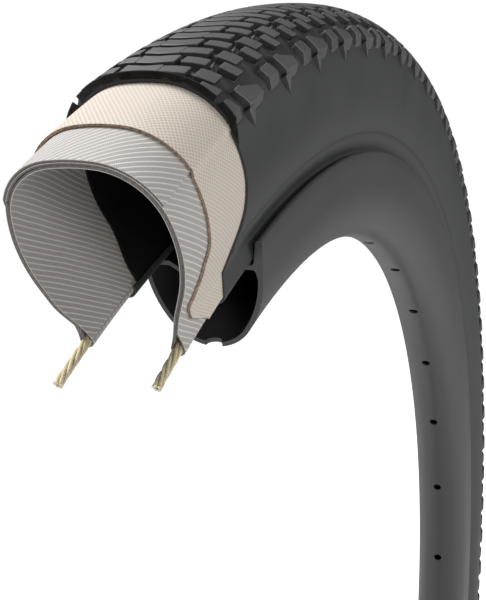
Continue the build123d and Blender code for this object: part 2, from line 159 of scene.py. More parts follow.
def place(slope, lift, down=0.0):
    """Point (r, y) where the profile has this slope, and this far down the flank."""
    side = 1 if slope >= 0 else -1
    size = min(abs(slope), FLANK)
    arc = next(a for a in ARCS if size <= a[1] + 1e-9)
    c, s = cos(radians(size)), sin(radians(size))
    r = arc[2] + (arc[4] + lift) * c - down * s
    return r, side * (arc[3] + (arc[4] + lift) * s + down * c)


def slope_of(distance, lift=MEASURED_LIFT):
    """Slope and distance down the flank, this far along the section at this lift."""
    left = abs(distance)
    side = 1 if distance >= 0 else -1
    for start, end, _, _, radius in ARCS:
        length = (radius + lift) * radians(end - start)
        if left <= length:
            return side * (start + degrees(left / (radius + lift))), 0.0
        left -= length
    return side * FLANK, left


def distance_of(slope, lift=MEASURED_LIFT):
    """The distance along the section at which the profile has this slope."""
    total, size = 0.0, abs(slope)
    for start, end, _, _, radius in ARCS:
        total += (radius + lift) * radians(max(0.0, min(size, end) - start))
    return total if slope >= 0 else -total


FLANK_AT = distance_of(FLANK)
EDGE_AT = distance_of(PLY_EDGE)
STEP_AT = distance_of(PLY_EDGE + PLY_STEP)
SEAM_AT = distance_of(SEAM)


def point(distance, lift):
    """Point (r, y) on the section at this distance and lift."""
    slope, down = slope_of(distance)
    return place(slope, lift, down)


def smooth(x):
    """Eased step from 0 to 1."""
    x = min(1.0, max(0.0, x))
    return x * x * (3 - 2 * x)


def run(first, last, *lifts):
    """Points from one distance to another, one row per lift; lifts may be functions."""
    count = max(2, int(round(abs(last - first) / SPACING)) + 1)
    rows = []
    for lift in lifts:
        height = lift if callable(lift) else (lambda _, h=lift: h)
        rows.append([(*point(d, height(d)), d) for d in np.linspace(first, last, count)])
    return rows


def joined(*stretches):
    """Matched rows of points from several stretches, put end to end."""
    return [sum((list(s[i]) for s in stretches), []) for i in range(len(stretches[0]))]


def flipped(rows):
    """The same rows on the other side of the wheel, still run from -Y to +Y."""
    return [[(r, -y, -d) for r, y, d in reversed(row)] for row in rows]


# ---- round the bead ----------------------------------------------------------------
def bead_centre():
    """Cord's centre, one ply outside the flank, and its distance down the flank."""
    lift = PLY_PITCH + CORD_R
    down = (place(FLANK, lift)[0] - BEAD_RADIUS) / sin(radians(FLANK))
    return place(FLANK, lift, down), down


(BEAD_R, BEAD_Y), BEAD_DOWN = bead_centre()
INSIDE = FLANK + 180.0
BEAD_AT = FLANK_AT + BEAD_DOWN


def around(radius, angle):
    """Point on a circle round the cord; 0 is +r and 90 is +y."""
    return BEAD_R + radius * cos(radians(angle)), BEAD_Y + radius * sin(radians(angle))


def leaving(radius, target):
    """Angle on that circle where a straight line to the target leaves it."""
    dr, dy = target[0] - BEAD_R, target[1] - BEAD_Y
    return degrees(atan2(dy, dr)) + degrees(acos(radius / hypot(dr, dy)))


def straight(start, end, count, first, last):
    """Evenly spaced points of a straight stretch, with their distances."""
    return [(start[0] + (end[0] - start[0]) * t, start[1] + (end[1] - start[1]) * t,
             first + (last - first) * t) for t in np.linspace(0, 1, count)]


def wrapped(radius, lift, first=INSIDE):
    """From a place round the bead's foot up the slant to the flank."""
    target = place(FLANK, lift, FILLER_START)
    away = leaving(radius, target)
    arc_mm = 0.55 * radians(first - away) * radius
    turn = [(*around(radius, a), BEAD_AT + arc_mm * (1 - i / TURN_COUNT))
            for i, a in enumerate(np.linspace(first, away, TURN_COUNT + 1))]
    slant = straight(around(radius, away), target, 9, BEAD_AT, FLANK_AT + FILLER_START)
    return turn + slant[1:]


def turn_up(bead_face, back_face):
    """Matched rows down the inner ply's lower flank, round the cord and up again."""
    rows = []
    for radius, inner, outer in (bead_face, back_face):
        start = place(FLANK, inner)
        down = straight(start, around(radius, INSIDE), DOWN_COUNT + 1, FLANK_AT, BEAD_AT)
        rise = wrapped(radius, outer)
        up = straight(rise[-1][:2], place(FLANK, outer), 10, FLANK_AT + FILLER_START, FLANK_AT)
        rows.append(down[1:] + rise[1:] + up[1:-1])
    return rows


# ====================================================================================
# Meshes
# ====================================================================================
def mesh_object(name, vertices, faces, slots=None, smooth_angle=35.0):
    """A piece from points in millimetres and faces, shaded smooth up to an angle."""
    mesh = bpy.data.meshes.new(name)
    mesh.from_pydata((np.asarray(vertices, float) * MM).tolist(), [], faces)
    if slots is not None:
        mesh.polygons.foreach_set("material_index", np.asarray(slots, np.int32))
    mesh.update()
    obj = bpy.data.objects.new(name, mesh)
    bpy.context.scene.collection.objects.link(obj)
    mesh.shade_smooth()
    mesh.set_sharp_from_angle(angle=radians(smooth_angle))
    return obj


def give_vector(obj, name, values):
    """Store one vector per vertex for a material to read."""
    layer = obj.data.attributes.new(name, "FLOAT_VECTOR", "POINT")
    layer.data.foreach_set("vector", np.asarray(values, np.float32).ravel())


def give_value(obj, name, values):
    """Store one number per vertex for a material to read."""
    layer = obj.data.attributes.new(name, "FLOAT", "POINT")
    layer.data.foreach_set("value", np.asarray(values, np.float32).ravel())


def on_ring(theta, r, y):
    """Points of the wheel from arrays of angles in degrees, radii and y."""
    t = np.radians(theta)
    return np.stack([r * np.cos(t), y + 0 * t, r * np.sin(t)], axis=-1)


def stations(front, step):
    """Angles round the wheel: shares of the near stretch, then fixed angles."""
    near = np.linspace(0, 1, 9)
    near_end = front - NEAR_STRETCH
    count = int(round((near_end - BACK) / step))
    return near, near_end, np.linspace(near_end, BACK, count + 1)[1:]


def theta_grid(fronts, step):
    """One row of angles per station, for points with their own front ends."""
    fronts = np.asarray(fronts, float)
    near, near_end, far = stations(fronts.min(), step)
    rows = [fronts + (near_end - fronts) * u for u in near]
    return np.array(rows + [np.full(len(fronts), a) for a in far])


def sweep(name, inner, outer, front, step, closed=False, smooth_angle=35.0):
    """A layer between two matched rows of section points, swept round the wheel.

    front is one angle or a function of the distance along the section. The cut
    ends and edges take the second material slot, and the distances become the
    vector "cloth": along the section, round the wheel, and which face.
    """
    rows = np.array([inner, outer], float)
    count = rows.shape[1]
    ends = np.array([front(d) if callable(front) else front for d in rows[0, :, 2]])
    theta = theta_grid(np.concatenate([ends, ends]), step)
    flat = rows.reshape(-1, 3)
    points = on_ring(theta, flat[:, 0], flat[:, 1])
    rings, width = theta.shape
    faces, slots = [], []
    last = count if closed else count - 1
    for j in range(rings - 1):
        a, b = j * width, (j + 1) * width
        for i in range(last):
            k = (i + 1) % count
            faces.append((a + i, a + k, b + k, b + i))
            faces.append((a + count + i, b + count + i, b + count + k, a + count + k))
            slots += [0, 0]
        if not closed:
            faces.append((a, b, b + count, a + count))
            faces.append((a + count - 1, a + 2 * count - 1, b + 2 * count - 1, b + count - 1))
            slots += [1, 1]
    end = (rings - 1) * width
    for i in range(last):
        k = (i + 1) % count
        faces.append((i, count + i, count + k, k))
        faces.append((end + i, end + k, end + count + k, end + count + i))
        slots += [1, 1]
    obj = mesh_object(name, points.reshape(-1, 3), faces, slots, smooth_angle)
    along = np.tile(flat[:, 2], rings)
    side = np.tile(np.repeat([-1.0, 1.0], count), rings)
    give_vector(obj, "cloth", np.stack([along, np.radians(theta.ravel()) * CROWN_RADIUS, side], -1))
    return obj


# ====================================================================================
# Shader groups
# ====================================================================================
class Nodes:
    """A small hand for placing and joining shader nodes."""

    def __init__(self, tree):
        self.tree = tree

    def add(self, kind, **values):
        node = self.tree.nodes.new(kind)
        for key, value in values.items():
            setattr(node, key, value)
        return node

    def feed(self, socket, value):
        """Set a socket to a number or colour, or join an output to it."""
        if isinstance(value, bpy.types.NodeSocket):
            self.tree.links.new(value, socket)
        else:
            socket.default_value = value

    def maths(self, operation, a, b=0.0, c=0.0):
        node = self.add("ShaderNodeMath", operation=operation)
        for socket, value in zip(node.inputs, (a, b, c)):
            self.feed(socket, value)
        return node.outputs[0]

    def ramp(self, value, low, high, to_low=0.0, to_high=1.0):
        node = self.add("ShaderNodeMapRange")
        for key, item in (("Value", value), ("From Min", low), ("From Max", high),
                          ("To Min", to_low), ("To Max", to_high)):
            self.feed(node.inputs[key], item)
        return node.outputs["Result"]

    def blend(self, share, a, b):
        node = self.add("ShaderNodeMix", data_type="RGBA")
        self.feed(node.inputs[0], share)
        self.feed(node.inputs[6], a)
        self.feed(node.inputs[7], b)
        return node.outputs[2]

    def noise(self, where, scale, detail=3.0, roughness=0.55):
        node = self.add("ShaderNodeTexNoise")
        self.feed(node.inputs["Vector"], where)
        self.feed(node.inputs["Scale"], scale)
        self.feed(node.inputs["Detail"], detail)
        self.feed(node.inputs["Roughness"], roughness)
        return node.outputs["Fac"]

    def attribute(self, name):
        return self.add("ShaderNodeAttribute", attribute_name=name)

    def place(self):
        return self.add("ShaderNodeTexCoord").outputs["Object"]

    def cloth(self):
        """Distance along the section, distance round the wheel, and which face."""
        split = self.add("ShaderNodeSeparateXYZ")
        self.feed(split.inputs[0], self.attribute("cloth").outputs["Vector"])
        return split.outputs

    def group(self, tree, **values):
        node = self.add("ShaderNodeGroup", node_tree=tree)
        for key, value in values.items():
            self.feed(node.inputs[key.replace("_", " ")], value)
        return node


def new_group(name, inputs, outputs):
    """An empty shader group with named number, colour or vector sockets."""
    tree = bpy.data.node_groups.new(name, "ShaderNodeTree")
    kinds = {"value": "NodeSocketFloat", "vector": "NodeSocketVector", "colour": "NodeSocketColor"}
    for key, kind in inputs:
        tree.interface.new_socket(name=key, in_out="INPUT", socket_type=kinds[kind])
    for key, kind in outputs:
        tree.interface.new_socket(name=key, in_out="OUTPUT", socket_type=kinds[kind])
    hand = Nodes(tree)
    return tree, hand, hand.add("NodeGroupInput"), hand.add("NodeGroupOutput")


def surface_grain_group():
    """Fine moulded grain, with slow changes of tone over the surface."""
    tree, n, given, out = new_group(
        "surface_grain", [("Grain Size mm", "value"), ("Tone Size mm", "value")],
        [("Height", "value"), ("Tone", "value")])
    where = n.place()
    fine = n.noise(where, n.maths("DIVIDE", 1000.0, given.outputs["Grain Size mm"]), 2.0, 0.6)
    slow = n.noise(where, n.maths("DIVIDE", 1000.0, given.outputs["Tone Size mm"]), 4.0, 0.5)
    n.feed(out.inputs["Height"], fine)
    n.feed(out.inputs["Tone"], n.ramp(slow, 0.3, 0.7))
    return tree


def cord_weave_group():
    """Parallel cords laid at an angle on the cloth, crossed by finer threads."""
    tree, n, given, out = new_group(
        "cord_weave",
        [("Along", "value"), ("Round", "value"), ("Angle", "value"), ("Cord Pitch mm", "value"),
         ("Cross Pitch mm", "value"), ("Ridge Width", "value")],
        [("Ridge", "value"), ("Thread", "value"), ("Height", "value")])
    turn = given.outputs["Angle"]
    c, s = n.maths("COSINE", turn), n.maths("SINE", turn)
    along, round_ = given.outputs["Along"], given.outputs["Round"]
    across = n.maths("ADD", n.maths("MULTIPLY", along, c), n.maths("MULTIPLY", round_, s))
    length = n.maths("SUBTRACT", n.maths("MULTIPLY", round_, c), n.maths("MULTIPLY", along, s))
    wander = n.noise(n.place(), 90.0, 2.0)
    across = n.maths("ADD", across, n.maths("MULTIPLY", n.maths("SUBTRACT", wander, 0.5), 0.35))
    turns = n.maths("DIVIDE", across, given.outputs["Cord Pitch mm"])
    wave = n.maths("ABSOLUTE", n.maths("SUBTRACT", n.maths("FRACT", turns), 0.5))
    wave = n.maths("MULTIPLY", wave, 2.0)
    ridge = n.ramp(wave, n.maths("SUBTRACT", 1.0, given.outputs["Ridge Width"]), 1.0)
    cross = n.maths("DIVIDE", length, given.outputs["Cross Pitch mm"])
    row = n.maths("MULTIPLY", n.maths("FLOOR", n.maths("MULTIPLY", turns, 3.0)), 0.5)
    beat = n.maths("SINE", n.maths("MULTIPLY", n.maths("ADD", cross, row), 2 * pi))
    fine = n.maths("SINE", n.maths("MULTIPLY", turns, 6 * pi))
    thread = n.maths("MULTIPLY_ADD", n.maths("MULTIPLY", beat, fine), 0.5, 0.5)
    n.feed(out.inputs["Ridge"], ridge)
    n.feed(out.inputs["Thread"], thread)
    n.feed(out.inputs["Height"], n.maths("MULTIPLY_ADD", ridge, 0.7, n.maths("MULTIPLY", thread, 0.3)))
    return tree


def fibre_group():
    """Fine fibres along a length: stretched noise that feeds colour and height."""
    tree, n, given, out = new_group(
        "fibres", [("Length Way", "vector"), ("Fibre Size", "value")], [("Fibre", "value")])
    scaled = n.add("ShaderNodeVectorMath", operation="SCALE")
    n.feed(scaled.inputs[0], given.outputs["Length Way"])
    n.feed(scaled.inputs["Scale"], given.outputs["Fibre Size"])
    n.feed(out.inputs["Fibre"], n.noise(scaled.outputs[0], 1.0, 4.0, 0.65))
    return tree


GRAIN = surface_grain_group()
WEAVE = cord_weave_group()
FIBRES = fibre_group()


# ====================================================================================
# Materials
# ====================================================================================
def new_material(name, roughness, specular=0.5, metallic=0.0):
    """A material with a Principled shader, and a hand for its nodes."""
    material = bpy.data.materials.new(name)
    material.use_nodes = True
    shader = material.node_tree.nodes["Principled BSDF"]
    shader.inputs["Roughness"].default_value = roughness
    shader.inputs["Specular IOR Level"].default_value = specular
    shader.inputs["Metallic"].default_value = metallic
    return material, Nodes(material.node_tree), shader


def bump(n, shader, height, depth_mm, strength=1.0):
    """Join a height in millimetres to the shader's normal."""
    node = n.add("ShaderNodeBump")
    node.inputs["Distance"].default_value = depth_mm * MM
    node.inputs["Strength"].default_value = strength
    n.feed(node.inputs["Height"], height)
    n.feed(shader.inputs["Normal"], node.outputs["Normal"])


def moulded(name, dark, light, roughness, grain_mm=0.35, depth_mm=0.012, specular=0.5, edge=None,
            line=None):
    """Rubber or plastic from a mould: two near tones and fine grain; with masks, painted shade on the knobs'
    sides and painted highlight on their edges, and with a line, a painted shade line.
    """
    material, n, shader = new_material(name, roughness[0], specular)
    grain = n.group(GRAIN, Grain_Size_mm=grain_mm, Tone_Size_mm=22.0)
    colour = n.blend(grain.outputs["Tone"], dark, light)
    colour = n.blend(n.ramp(grain.outputs["Height"], 0.35, 0.7, 0.0, 0.35), colour, light)
    if edge:
        # painted shade: the knobs' sides are darkened towards near-black
        colour = n.blend(n.attribute("wall").outputs["Fac"], colour, KNOB_SIDE_PAINTED_SHADE)
        mask = n.attribute("edge").outputs["Fac"]
        # painted highlight: the bevel edges are paled where light would catch them
        colour = n.blend(n.maths("MULTIPLY", mask, 0.8), colour, edge)
    if line:
        # painted shade: a near-black line along the ring line, standing in for the shade at its moulded step
        off = n.maths("ABSOLUTE", n.maths("SUBTRACT", n.maths("ABSOLUTE", n.cloth()[0]), line))
        colour = n.blend(n.ramp(off, 0.10, 0.22, 0.85, 0.0), colour, (0.004, 0.004, 0.004, 1))
    n.feed(shader.inputs["Base Color"], colour)
    n.feed(shader.inputs["Roughness"], n.ramp(grain.outputs["Tone"], 0.0, 1.0, *roughness))
    bump(n, shader, grain.outputs["Height"], depth_mm)
    return material


def casing_material():
    """Pale cords over a grey ground of very fine dots."""
    material, n, shader = new_material("casing_fabric", 0.72, 0.3)
    along, round_, _ = n.cloth()
    turned = n.attribute("turned").outputs["Fac"]
    turn = n.ramp(turned, 0.0, 1.0, radians(CORD_LEAN), radians(-CORD_LEAN))
    weave = n.group(WEAVE, Along=along, Round=round_, Angle=turn, Cord_Pitch_mm=CASING_PITCH,
                    Cross_Pitch_mm=0.42, Ridge_Width=0.42)
    ground = n.blend(weave.outputs["Thread"], (0.26, 0.245, 0.23, 1), (0.42, 0.40, 0.38, 1))
    cords = n.blend(weave.outputs["Ridge"], ground, (0.64, 0.62, 0.595, 1))
    tone = n.noise(n.place(), 45.0, 3.0)
    n.feed(shader.inputs["Base Color"], n.blend(n.ramp(tone, 0.35, 0.75, 0.0, 0.3), cords,
                                                (0.36, 0.34, 0.32, 1)))
    bump(n, shader, weave.outputs["Height"], 0.09)
    return material


def protection_material():
    """Beige threads laid both ways at an angle."""
    material, n, shader = new_material("protection_fabric", 0.75, 0.25)
    along, round_, _ = n.cloth()
    sets = [n.group(WEAVE, Along=along, Round=round_, Angle=radians(a), Cord_Pitch_mm=0.85,
                    Cross_Pitch_mm=0.4, Ridge_Width=0.6) for a in (36.0, -42.0)]
    height = n.maths("MAXIMUM", sets[0].outputs["Height"], sets[1].outputs["Height"])
    lit = n.maths("MAXIMUM", sets[0].outputs["Ridge"], sets[1].outputs["Ridge"])
    ground = n.blend(lit, (0.42, 0.36, 0.305, 1), (0.63, 0.575, 0.515, 1))
    tone = n.noise(n.place(), 60.0, 3.0)
    n.feed(shader.inputs["Base Color"], n.blend(n.ramp(tone, 0.3, 0.8, 0.0, 0.3), ground,
                                                (0.55, 0.485, 0.425, 1)))
    bump(n, shader, height, 0.09)
    return material


def cut_cloth_material(name, pale, dark):
    """Cut edge of a cloth: pale fibre ends with dark gaps."""
    material, n, shader = new_material(name, 0.85, 0.2)
    fine = n.noise(n.place(), 2600.0, 2.0, 0.7)
    n.feed(shader.inputs["Base Color"], n.blend(n.ramp(fine, 0.38, 0.62), dark, pale))
    bump(n, shader, fine, 0.12)
    return material


def ply_edge_material():
    """Cut edge of the casing: painted shade between the faces, standing in for the shadowed gaps between
    plies, with a pale beaded line on each face.
    """
    material, n, shader = new_material("casing_cut", 0.8, 0.2)
    along, _, side = n.cloth()
    beads = n.maths("SINE", n.maths("MULTIPLY", along, 2 * pi / 0.55))
    near_face = n.ramp(side, 0.35, 0.65)
    line = n.maths("MULTIPLY", near_face, n.ramp(beads, -0.6, 0.3, 0.35, 1.0))
    grain = n.noise(n.place(), 2400.0, 2.0, 0.7)
    # painted shade: the dark middle of the cut edge stands in for the shadowed gaps between the plies
    ply_gap_shade = n.blend(grain, (0.10, 0.09, 0.082, 1), (0.20, 0.185, 0.17, 1))
    n.feed(shader.inputs["Base Color"], n.blend(line, ply_gap_shade, (0.82, 0.80, 0.77, 1)))
    bump(n, shader, n.maths("ADD", n.maths("MULTIPLY", line, 0.6), n.maths("MULTIPLY", grain, 0.4)), 0.10)
    return material


def cord_material(name, pale, dark):
    """Twisted strands of golden fibre, with fine lines along each strand."""
    material, n, shader = new_material(name, 0.55, 0.4)
    lines = n.group(FIBRES, Length_Way=n.attribute("strand").outputs["Vector"], Fibre_Size=1.0)
    fibre = n.ramp(lines.outputs["Fibre"], 0.3, 0.7)
    n.feed(shader.inputs["Base Color"], n.blend(fibre, dark, pale))
    shader.inputs["Sheen Weight"].default_value = 0.2
    bump(n, shader, fibre, 0.05)
    return material


def carbon_material():
    """Satin laminate: faint overlapping plies under a smooth dark surface."""
    material, n, shader = new_material("rim_carbon", 0.42, 0.5)
    where = n.place()
    wave = n.add("ShaderNodeTexWave", wave_type="RINGS", rings_direction="SPHERICAL")
    n.feed(wave.inputs["Vector"], where)
    wave.inputs["Scale"].default_value = 2.2
    wave.inputs["Distortion"].default_value = 9.0
    wave.inputs["Detail"].default_value = 1.0
    wave.inputs["Detail Scale"].default_value = 0.9
    layup = n.ramp(wave.outputs["Fac"], 0.90, 1.0, 0.0, 0.35)
    slow = n.noise(where, 14.0, 3.0)
    ground = n.blend(n.ramp(slow, 0.3, 0.7), (0.030, 0.029, 0.029, 1), (0.044, 0.043, 0.043, 1))
    n.feed(shader.inputs["Base Color"], n.blend(layup, ground, (0.075, 0.074, 0.073, 1)))
    n.feed(shader.inputs["Roughness"], n.ramp(slow, 0.3, 0.7, 0.38, 0.48))
    bump(n, shader, n.noise(where, 900.0, 2.0), 0.004)
    return material


def metal_material(name, colour, roughness):
    """Turned metal with fine turning lines."""
    material, n, shader = new_material(name, roughness, 0.5, 1.0)
    grain = n.group(GRAIN, Grain_Size_mm=0.25, Tone_Size_mm=6.0)
    darker = tuple(0.8 * c for c in colour[:3]) + (1.0,)
    n.feed(shader.inputs["Base Color"], n.blend(grain.outputs["Tone"], darker, colour))
    n.feed(shader.inputs["Roughness"],
           n.ramp(grain.outputs["Tone"], 0, 1, roughness * 0.85, roughness * 1.2))
    bump(n, shader, grain.outputs["Height"], 0.006)
    return material


KNOB_SIDE_PAINTED_SHADE = (0.012, 0.012, 0.012, 1)     # painted shade on the knobs' sides, darker than their tops
# the tread's edge colour is a painted highlight on the knobs' bevels
TREAD = moulded("tread_rubber", (0.052, 0.052, 0.053, 1), (0.075, 0.075, 0.076, 1), (0.50, 0.62),
                0.4, 0.012, 0.5, edge=(0.15, 0.15, 0.15, 1))
# painted shade: the groove floor is the tread rubber made darker in the recess between the knobs
GROOVE_RUBBER = moulded("groove_rubber", (0.022, 0.022, 0.023, 1), (0.034, 0.034, 0.035, 1), (0.6, 0.72),
                        0.5, 0.012, 0.4)
# the sidewall's near-black line at the ring line is painted shade at the moulded step
SIDEWALL = moulded("sidewall_rubber", (0.024, 0.025, 0.025, 1), (0.032, 0.033, 0.034, 1), (0.48, 0.56),
                   0.5, 0.006, line=FLANK_AT + RING_LINE)
CUT_RUBBER = moulded("cut_rubber", (0.018, 0.018, 0.019, 1), (0.030, 0.030, 0.031, 1), (0.6, 0.75),
                     0.6, 0.02)
LINER_RUBBER = moulded("liner_rubber", (0.006, 0.006, 0.006, 1), (0.010, 0.010, 0.010, 1), (0.5, 0.6),
                       0.6, 0.01, 0.3)
FILLER_RUBBER = moulded("filler_rubber", (0.02, 0.02, 0.02, 1), (0.04, 0.04, 0.04, 1), (0.6, 0.7))
SEAL_RUBBER = moulded("seal_rubber", (0.02, 0.02, 0.02, 1), (0.035, 0.035, 0.035, 1), (0.45, 0.55), 0.3)
CAP_PLASTIC = moulded("cap_plastic", (0.012, 0.012, 0.013, 1), (0.02, 0.02, 0.02, 1), (0.35, 0.45),
                      0.3, 0.004)
TAPE = moulded("tape", (0.012, 0.012, 0.013, 1), (0.02, 0.02, 0.02, 1), (0.3, 0.4), 0.8, 0.006)
CASING = casing_material()
CASING_CUT = ply_edge_material()
PROTECTION_CLOTH = protection_material()
PROTECTION_CUT = cut_cloth_material("protection_cut", (0.42, 0.31, 0.23, 1), (0.16, 0.11, 0.08, 1))
CORD = cord_material("bead_cord", (0.72, 0.64, 0.42, 1), (0.42, 0.34, 0.19, 1))
CORD_END = cord_material("bead_cord_end", (0.93, 0.88, 0.72, 1), (0.75, 0.66, 0.45, 1))
CARBON = carbon_material()
STEEL = metal_material("valve_metal", (0.62, 0.62, 0.63, 1), 0.3)
BLACK_METAL = metal_material("nut_metal", (0.05, 0.05, 0.055, 1), 0.35)
BRASS = metal_material("core_brass", (0.75, 0.66, 0.50, 1), 0.28)


def finish_piece(obj, body, slot, materials, *nodes):
    """Give a piece its materials and its body, and hide the nodes it stands for; slot is not used."""
    for material in materials:
        obj.data.materials.append(material)
    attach(obj, body)
    if nodes:
        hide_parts(*nodes)
    return obj


# ====================================================================================
# Tire layers
# ====================================================================================
def ply_step(distance):
    """1 over the crown, easing to 0 past the turned-up ends."""
    share = (abs(distance) - EDGE_AT) / (STEP_AT - EDGE_AT)
    return 1 - smooth(share)


def fabric_lift(distance):
    """Lift of the casing's outside, which steps down past the turned-up ends."""
    return 2 * PLY_PITCH + PLY_PITCH * ply_step(distance)


def casing_front(distance):
    """Front edge of the casing, which falls back a little near each bead."""
    return CASING_FRONT - CASING_FALL * smooth((abs(distance) - FLANK_AT - 4.0) / 12.0)


def casing():
    """One sheet of fabric: crown, round each bead and back over the crown."""
    low = PLY_PITCH + PLY_GAP
    under = run(EDGE_AT, -FLANK_AT, low, low + PLY)
    left_bead = turn_up((CORD_R + SKIM, PLY, low), (CORD_R + SKIM + PLY, 0.0, low + PLY))
    inner = run(-FLANK_AT, FLANK_AT, PLY, 0.0)
    over_top = 2 * PLY_PITCH + PLY

    def top(distance):
        return low + PLY + (over_top - low - PLY) * ply_step(distance)
    over = run(FLANK_AT, -EDGE_AT, lambda d: top(d) - PLY, top)
    faces = joined(under, flipped(left_bead), inner, left_bead, over)
    sheet = sweep("casing_ply", faces[0], faces[1], casing_front, CLOTH_STEP)
    round_bead = [float(i >= DOWN_COUNT + TURN_COUNT // 2) for i in range(len(left_bead[0]))]
    turned = ([1.0] * len(under[0]) + round_bead[::-1] + [0.0] * len(inner[0]) + round_bead
              + [1.0] * len(over[0]))
    rings = len(sheet.data.vertices) // (2 * len(turned))
    give_value(sheet, "turned", np.tile(turned, 2 * rings))
    return sheet


def protection_front(distance):
    """Front edge of the beige fabric: level over the crown, with a tab at each foot."""
    at = [40, 41.8, 43.4, 47, 48.6, 50.2, 51, 53.3, 58, 62.5, 66]
    ahead = [0.0, 0.15, 0.4, 0.55, 0.79, 1.05, 1.4, 1.2, 0.6, -0.45, -1.15]
    return PROTECTION_FRONT + float(np.interp(abs(distance), at, ahead))


def protection():
    """Beige fabric over the casing and round both bead feet."""
    top = run(0.0, FLANK_AT, fabric_lift, lambda d: fabric_lift(d) + PROTECTION)
    side = 2 * PLY_PITCH
    foot_radius = CORD_R + SKIM + TURNED_PLY + SKIM
    rows = []
    for extra, first in ((0.0, top[0]), (PROTECTION, top[1])):
        flank = straight(place(FLANK, side + extra), place(FLANK, side + extra, FILLER_START), 12,
                         FLANK_AT, FLANK_AT + FILLER_START)
        foot = list(reversed(wrapped(foot_radius + extra, side + extra, FABRIC_FOOT)))
        rows.append(first + flank[1:] + foot[1:])
    whole = [list(reversed([(r, -y, -d) for r, y, d in row]))[:-1] + row for row in rows]
    return sweep("protection_layer", whole[0], whole[1], protection_front, CLOTH_STEP)


def liner():
    """Black airtight film inside the casing."""
    end = BEAD_DOWN - SKIM

    def front(distance):
        return LINER_FRONT + 0.5 * smooth((abs(distance) - 48) / 12)
    faces = run(-FLANK_AT - end, FLANK_AT + end, -SKIM - LINER, -SKIM)
    return sweep("inner_liner", faces[0], faces[1], front, CLOTH_STEP)


def rubber_front(distance):
    """Front edge of the rubber: level over the tread, leaning forward at each bead."""
    at = [24, 35, 45, 49, 54.5, 57.5, 63, 72]
    ahead = [0.0, -0.2, -0.2, -0.1, 0.45, 0.8, 1.2, 1.2]
    return RUBBER_FRONT + float(np.interp(abs(distance), at, ahead))


def rubber_under(distance):
    """Lift of the rubber's underside, just above the beige fabric."""
    return fabric_lift(distance) + PROTECTION + 2 * SKIM


def sidewall_top(distance):
    """Lift of the sidewall's outside above the flank's waist, with a moulded ring line."""
    past = abs(distance) - FLANK_AT - RING_LINE
    ring = RING_BAND * smooth(past / 0.9) * smooth((3.2 - past) / 1.4)
    thin = smooth((abs(distance) - FLANK_AT) / THINNED)
    return RUBBER_SIDE + (RUBBER_BEAD - RUBBER_SIDE) * thin + ring


def sidewall_half():
    """Matched rows of the left sidewall, from the tread's edge round under the bead."""
    top = run(SEAM_AT, FLANK_AT + THINNED, rubber_under, sidewall_top)
    over_ply = CORD_R + SKIM + TURNED_PLY + 2 * SKIM
    over_cloth = over_ply + PROTECTION + SKIM
    outside = over_cloth + CLOTH_RUBBER
    halves = []
    for radius, lift in ((over_cloth, FABRIC_SIDE + SKIM), (outside, RUBBER_BEAD)):
        slant = list(reversed(wrapped(radius, lift, FABRIC_FOOT)))
        flank = straight(place(FLANK, lift, THINNED), slant[0][:2], 3, FLANK_AT + THINNED,
                         FLANK_AT + FILLER_START)
        halves.append(flank[1:] + slant[1:])
    inner, outer = halves
    for share in np.linspace(0, 1, 15)[1:]:
        angle = FABRIC_FOOT + 4 + (INSIDE - FABRIC_FOOT - 4) * share
        last = BEAD_AT + 2 + 4 * share
        radius = outside + (over_ply + FOOT_RUBBER - outside) * smooth(share * 2.2)
        inner.append((*around(over_ply, angle), last))
        outer.append((*around(radius, angle), last))
    return [top[0] + inner, top[1] + outer]


def sidewalls():
    """Both sidewalls, left (+Y) and right (-Y)."""
    left = sidewall_half()
    right = [[(r, -y, -d) for r, y, d in row] for row in left]
    made = {}
    for name, rows in (("sidewall_left", left), ("sidewall_right", right)):
        made[name] = sweep(name, rows[0], rows[1], rubber_front, RUBBER_STEP)
    return made


def groove_lift(distance):
    """Lift of the tread's floor, which runs out into the sidewall."""
    start = distance_of(RUN_OUT)
    share = smooth((abs(distance) - start) / (SEAM_AT - start))
    return GROOVE + (RUBBER_SIDE - GROOVE) * share


def tread_base():
    """The tread's floor over the crown, from sidewall to sidewall."""
    rows = run(-SEAM_AT, SEAM_AT, rubber_under, groove_lift)
    return sweep("tread_base", rows[0], rows[1], rubber_front, RUBBER_STEP)


# ---- knobs -------------------------------------------------------------------------
def floor_lift(across):
    """Lift of the tread's floor at this pattern distance."""
    return groove_lift(distance_of(slope_of(across, PATTERN_LIFT)[0]))


def chevron(s):
    """How far the pattern slants back at this distance from the middle."""
    return CHEVRON * np.sqrt(s * s + 1.0)


def pattern_points(s, t, lift):
    """Points of the tread from pattern distances across and round, and a lift.

    A lift is a height above the casing's inner face; anything in front of the
    rubber's cut is brought back to it, which gives the cut knobs their flat faces.
    """
    points = []
    for across, along, height in zip(s, t, lift):
        slope, down = slope_of(across, PATTERN_LIFT)
        r, y = place(slope, height, down)
        theta = PATTERN_START - degrees(along / PATTERN_RADIUS)
        here = distance_of(slope) + (down if across >= 0 else -down)
        theta = max(BACK, min(theta, rubber_front(here)))
        points.append((r * cos(radians(theta)), y, r * sin(radians(theta))))
    return points


def offset_outline(loop, amount):
    """A closed outline moved outwards by this much, mitred at its corners."""
    before, after = np.roll(loop, 1, 0), np.roll(loop, -1, 0)
    into = loop - before
    away = after - loop
    into /= np.maximum(np.linalg.norm(into, axis=1, keepdims=True), 1e-9)
    away /= np.maximum(np.linalg.norm(away, axis=1, keepdims=True), 1e-9)
    n1 = np.stack([into[:, 1], -into[:, 0]], 1)
    n2 = np.stack([away[:, 1], -away[:, 0]], 1)
    bisector = n1 + n2
    scale = 1.0 / np.maximum((1 + (n1 * n2).sum(1)), 0.5)
    return loop + amount * bisector * scale[:, None]


